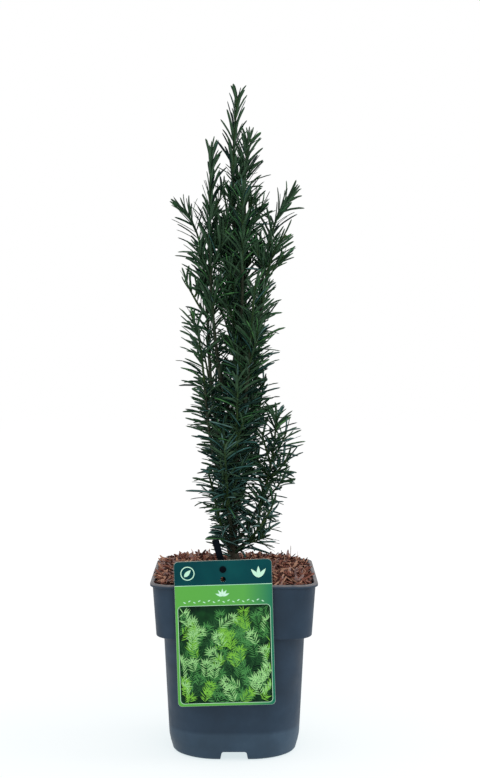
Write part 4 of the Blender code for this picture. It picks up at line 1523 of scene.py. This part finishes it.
def build_picture():
    """A bed of narrow-leaved sprigs in four layers on a dark ground."""
    rng = random.Random(SEED + 9)
    panel = rounded_outline(PANEL_HALF, PANEL_HALF_HEIGHT, PANEL_CORNER, PANEL_Y)
    wider = [size + FRAME_WIDTH for size in (PANEL_HALF, PANEL_HALF_HEIGHT, PANEL_CORNER)]
    ground = plain("print", "print_ground", (6, 24, 18), (22, 62, 32), scale=120)
    frame = plain("print", "print_frame", (168, 214, 178), (190, 228, 198))
    pieces = [
        printed_piece("print_frame", [rounded_outline(*wider, PANEL_Y)], 2, frame),
        printed_piece("print_ground", [panel], 3, ground),
    ]
    low, high = PANEL_Y - PANEL_HALF_HEIGHT - 0.004, PANEL_Y + PANEL_HALF_HEIGHT - 0.014
    for layer, (name, count, size, dark, light) in enumerate(PICTURE):
        halves = {-1: [], 1: []}
        for _ in range(count):
            x, y = rng.uniform(-PANEL_HALF, PANEL_HALF), rng.uniform(low, high)
            for leaf in sprig(rng, x, y, math.pi / 2 + rng.gauss(0, 0.45), size):
                sides = {hand: half_leaf(*leaf, hand) for hand in halves}
                if all(inside_panel(side) for side in sides.values()):
                    for hand, side in sides.items():
                        halves[hand].append(side)
        for hand, part, colour in ((-1, "dark", dark), (1, "light", light)):
            title = "print_%s_%s" % (name, part)
            skin = plain("print", title, colour, [v + PRINT_DRIFT for v in colour])
            pieces.append(printed_piece(title, halves[hand], 4 + 3 * layer, skin, depth=PRINT_LEVEL * 2))
    return pieces


def fan(x, y, turns, length, width):
    """Leaves that spread upward from one point."""
    return [whole_leaf(x, y, math.pi / 2 + turn, length, width) for turn in turns]


def build_emblems(head_low):
    """Plain leaf motifs: a ring with a leaf, a sprout and a row of small leaves."""
    pale = plain("print", "print_pale", (176, 222, 196), (196, 234, 210))
    teal = plain("print", "print_teal_inlay", (2, 52, 60), (7, 64, 68))
    x, y = -0.0290, head_low + HEADER_DEPTH / 2
    leaves = [whole_leaf(x - 0.0028, y - 0.0028, 0.8, 0.0080, 0.0034)]
    leaves += fan(-x, y - 0.0050, (-0.7, 0.0, 0.7), 0.0095, 0.0030)
    row = []
    for i in range(-8, 9):
        heading = 0.5 if i % 2 else -0.5
        row.append(whole_leaf(i * 0.0040 - 0.0012, head_low - 0.0136, heading, 0.0026, 0.0009))
    row += fan(-0.001, head_low - 0.0095, (-1.2, -0.6, 0.0, 0.6, 1.2), 0.0062, 0.0019)
    return [
        printed_piece("print_ring", [disc(x, y, 0.0058, 28)], 2, pale),
        printed_piece("print_ring_inside", [disc(x, y, 0.0050, 28)], 3, teal),
        printed_piece("print_leaf_motifs", leaves, 4, pale),
        printed_piece("print_ornament", row, 2, pale),
    ]


def build_sheet(half_w, half_h, holes):
    stock = plain("print", "card_stock", (150, 170, 160), (176, 192, 182), roughness=0.5)
    bm = bmesh.new()
    print_layer(bm, rounded_outline(half_w, half_h, CARD_CORNER), SHEET_LEVEL, holes)
    sheet = new_object("card_sheet", mesh_of(bm, "card_sheet"), stock)
    modified(sheet, "SOLIDIFY", thickness=CARD_THICKNESS, offset=-1)
    return sheet


def build_label():
    half_w, half_h = CARD_WIDTH / 2, CARD_HEIGHT / 2
    peg_y = half_h - CARD_PEG_DROP
    holes = ((peg_y, PEG_HOLE_RADIUS), (peg_y - PUNCHED_HOLE_DROP, PUNCHED_HOLE_RADIUS))
    side = half_w - PRINT_MARGIN
    low = half_h - HEADER_DEPTH
    rounded = rounded_outline(side, half_h - PRINT_MARGIN, CARD_CORNER)
    header = [point for point in rounded if point[1] > low] + [(-side, low), (side, low)]
    line = [(-side, low - LINE_WIDTH), (side, low - LINE_WIDTH), (side, low), (-side, low)]
    band = [(-side, low), *[point for point in rounded if point[1] < 0], (side, low)]
    teal = plain("print", "print_teal", (2, 52, 60), (8, 72, 74), scale=26)
    pale = plain("print", "print_line", (150, 206, 172), (176, 222, 192))
    return [
        build_sheet(half_w, half_h, holes),
        printed_piece("print_header", [header], 1, teal, holes),
        printed_piece("print_band", [band], 1, printed_band()),
        printed_piece("print_line", [line], 2, pale),
        *build_picture(),
        *build_emblems(low),
    ]


def build_stake(plastic):
    """A flat strip, pointed at its foot, with rounded top corners."""
    size = Matrix.Diagonal((STAKE_WIDTH, STAKE_THICKNESS, STAKE_ABOVE_PEG + STAKE_BELOW_PEG, 1))
    centre = Matrix.Translation((0, 0, (STAKE_ABOVE_PEG - STAKE_BELOW_PEG) / 2))
    bm = bmesh.new()
    bmesh.ops.create_cube(bm, size=1.0, matrix=centre @ size)
    for vert in bm.verts:
        if vert.co.z < 0:
            vert.co.x *= STAKE_POINT
    corners = [e for e in bm.edges if all(v.co.z > 0 for v in e.verts) and same(e, "x")]
    bmesh.ops.bevel(bm, geom=corners, offset=0.0012, segments=4, affect="EDGES", profile=0.5)
    bmesh.ops.bevel(bm, geom=bm.edges[:], offset=0.00025, segments=2, affect="EDGES", profile=0.5)
    leant = Matrix.Rotation(-STAKE_LEAN, 4, "Y")
    bm.transform(Matrix.Translation(PEG_PLACE + Vector((0, STAKE_Y, 0))) @ leant)
    return new_object("stake_strip", mesh_of(bm, "stake_strip", 35), plastic)


def build_peg(plastic):
    """A pin through the card's upper hole, with a domed head."""
    head = CARD_FRONT_Y - GAP
    dome = head - PEG_HEAD_EDGE
    profile = [(PEG_RADIUS, STAKE_Y), (PEG_RADIUS, head)]
    profile += [(PEG_HEAD_RADIUS * 0.94, head), (PEG_HEAD_RADIUS, dome)]
    for i in range(1, 6):
        turn = math.pi / 2 * i / 6
        depth = (PEG_HEAD_DEPTH - PEG_HEAD_EDGE) * math.sin(turn)
        profile.append((PEG_HEAD_RADIUS * math.cos(turn), dome - depth))
    rings = [[PEG_PLACE + Vector((u, y, v)) for v, u in disc(0.0, 0.0, radius, 32)] for radius, y in profile]
    top = PEG_PLACE + Vector((0, head - PEG_HEAD_DEPTH, 0))
    return new_object("label_peg", solid_of("label_peg", rings, 50, top), plastic)


# Studio

def build_camera():
    camera = bpy.data.cameras.new("photo_camera")
    camera.sensor_width = SENSOR
    camera.sensor_fit = "AUTO"
    camera.lens = FOCAL_PIXELS / IMAGE_HEIGHT * SENSOR
    item = new_object("photo_camera", camera)
    item.location = CAMERA_PLACE
    item.rotation_euler = (math.pi / 2 + CAMERA_PITCH, 0, 0)
    bpy.context.scene.camera = item


# Lamps: name, place, size and power
LAMPS = (
    ("left_panel", (-1.3, -0.3, 0.8), (0.8, 1.4), 2.5),
    ("right_panel", (1.3, -0.1, 0.8), (0.8, 1.4), 8),
    ("front_panel", (0.3, -1.7, 1.5), (1.2, 0.8), 6),
)
LAMP_AIM = Vector((0, 0, 0.25))
STUDIO_RADIUS = 4.0
STUDIO_DROP = 0.0002


def area_light(name, place, size, power):
    light = bpy.data.lights.new(name, "AREA")
    light.shape = "RECTANGLE"
    light.size, light.size_y = size
    light.energy = power
    item = new_object(name, light)
    item.location = place
    item.rotation_euler = (LAMP_AIM - Vector(place)).to_track_quat("-Z", "Y").to_euler()


def build_studio():
    world = bpy.data.worlds.new("studio")
    bpy.context.scene.world = world
    world.use_nodes = True
    background = world.node_tree.nodes["Background"]
    background.inputs["Color"].default_value = (1, 1, 1, 1)
    background.inputs["Strength"].default_value = 1.0
    bpy.context.scene.view_settings.view_transform = "Standard"
    bm = bmesh.new()
    bmesh.ops.create_circle(bm, cap_ends=True, segments=64, radius=STUDIO_RADIUS)
    floor = new_object("studio_floor", mesh_of(bm, "studio_floor"), floor_with_painted_glow())
    floor.location.z = -STUDIO_DROP
    for lamp in LAMPS:
        area_light(*lamp)


def main():
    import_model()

    build_camera()
    build_studio()
    trunk, boughs, stems = grow_limbs()
    bough_nodes = ["bough_" + name for name in SHOOTS]
    foliage_nodes = ["foliage_leader"] + ["foliage_" + name for name in SHOOTS]
    dress(build_trunk(trunk), "bark", "trunk")
    dress(build_boughs(boughs), "bark", *bough_nodes)
    old, young = build_stems(stems)
    dress(old, "bark", *foliage_nodes)
    dress(young, "needles", *foliage_nodes)
    for piece in build_needles(trunk, boughs, stems):
        dress(piece, "needles", *foliage_nodes)
    dress(build_pot(), "pot", "pot")
    dress(build_soil(), "mulch", "mulch")
    for piece in build_chips():
        dress(piece, "mulch", "mulch")
    for piece in build_label():
        dress(piece, "card", "label_card")
    black = plain("stake", "stake_plastic", (4, 9, 15), (11, 17, 26))
    for piece in (build_stake(black), build_peg(black)):
        dress(piece, "stake", "label_stake")


main()
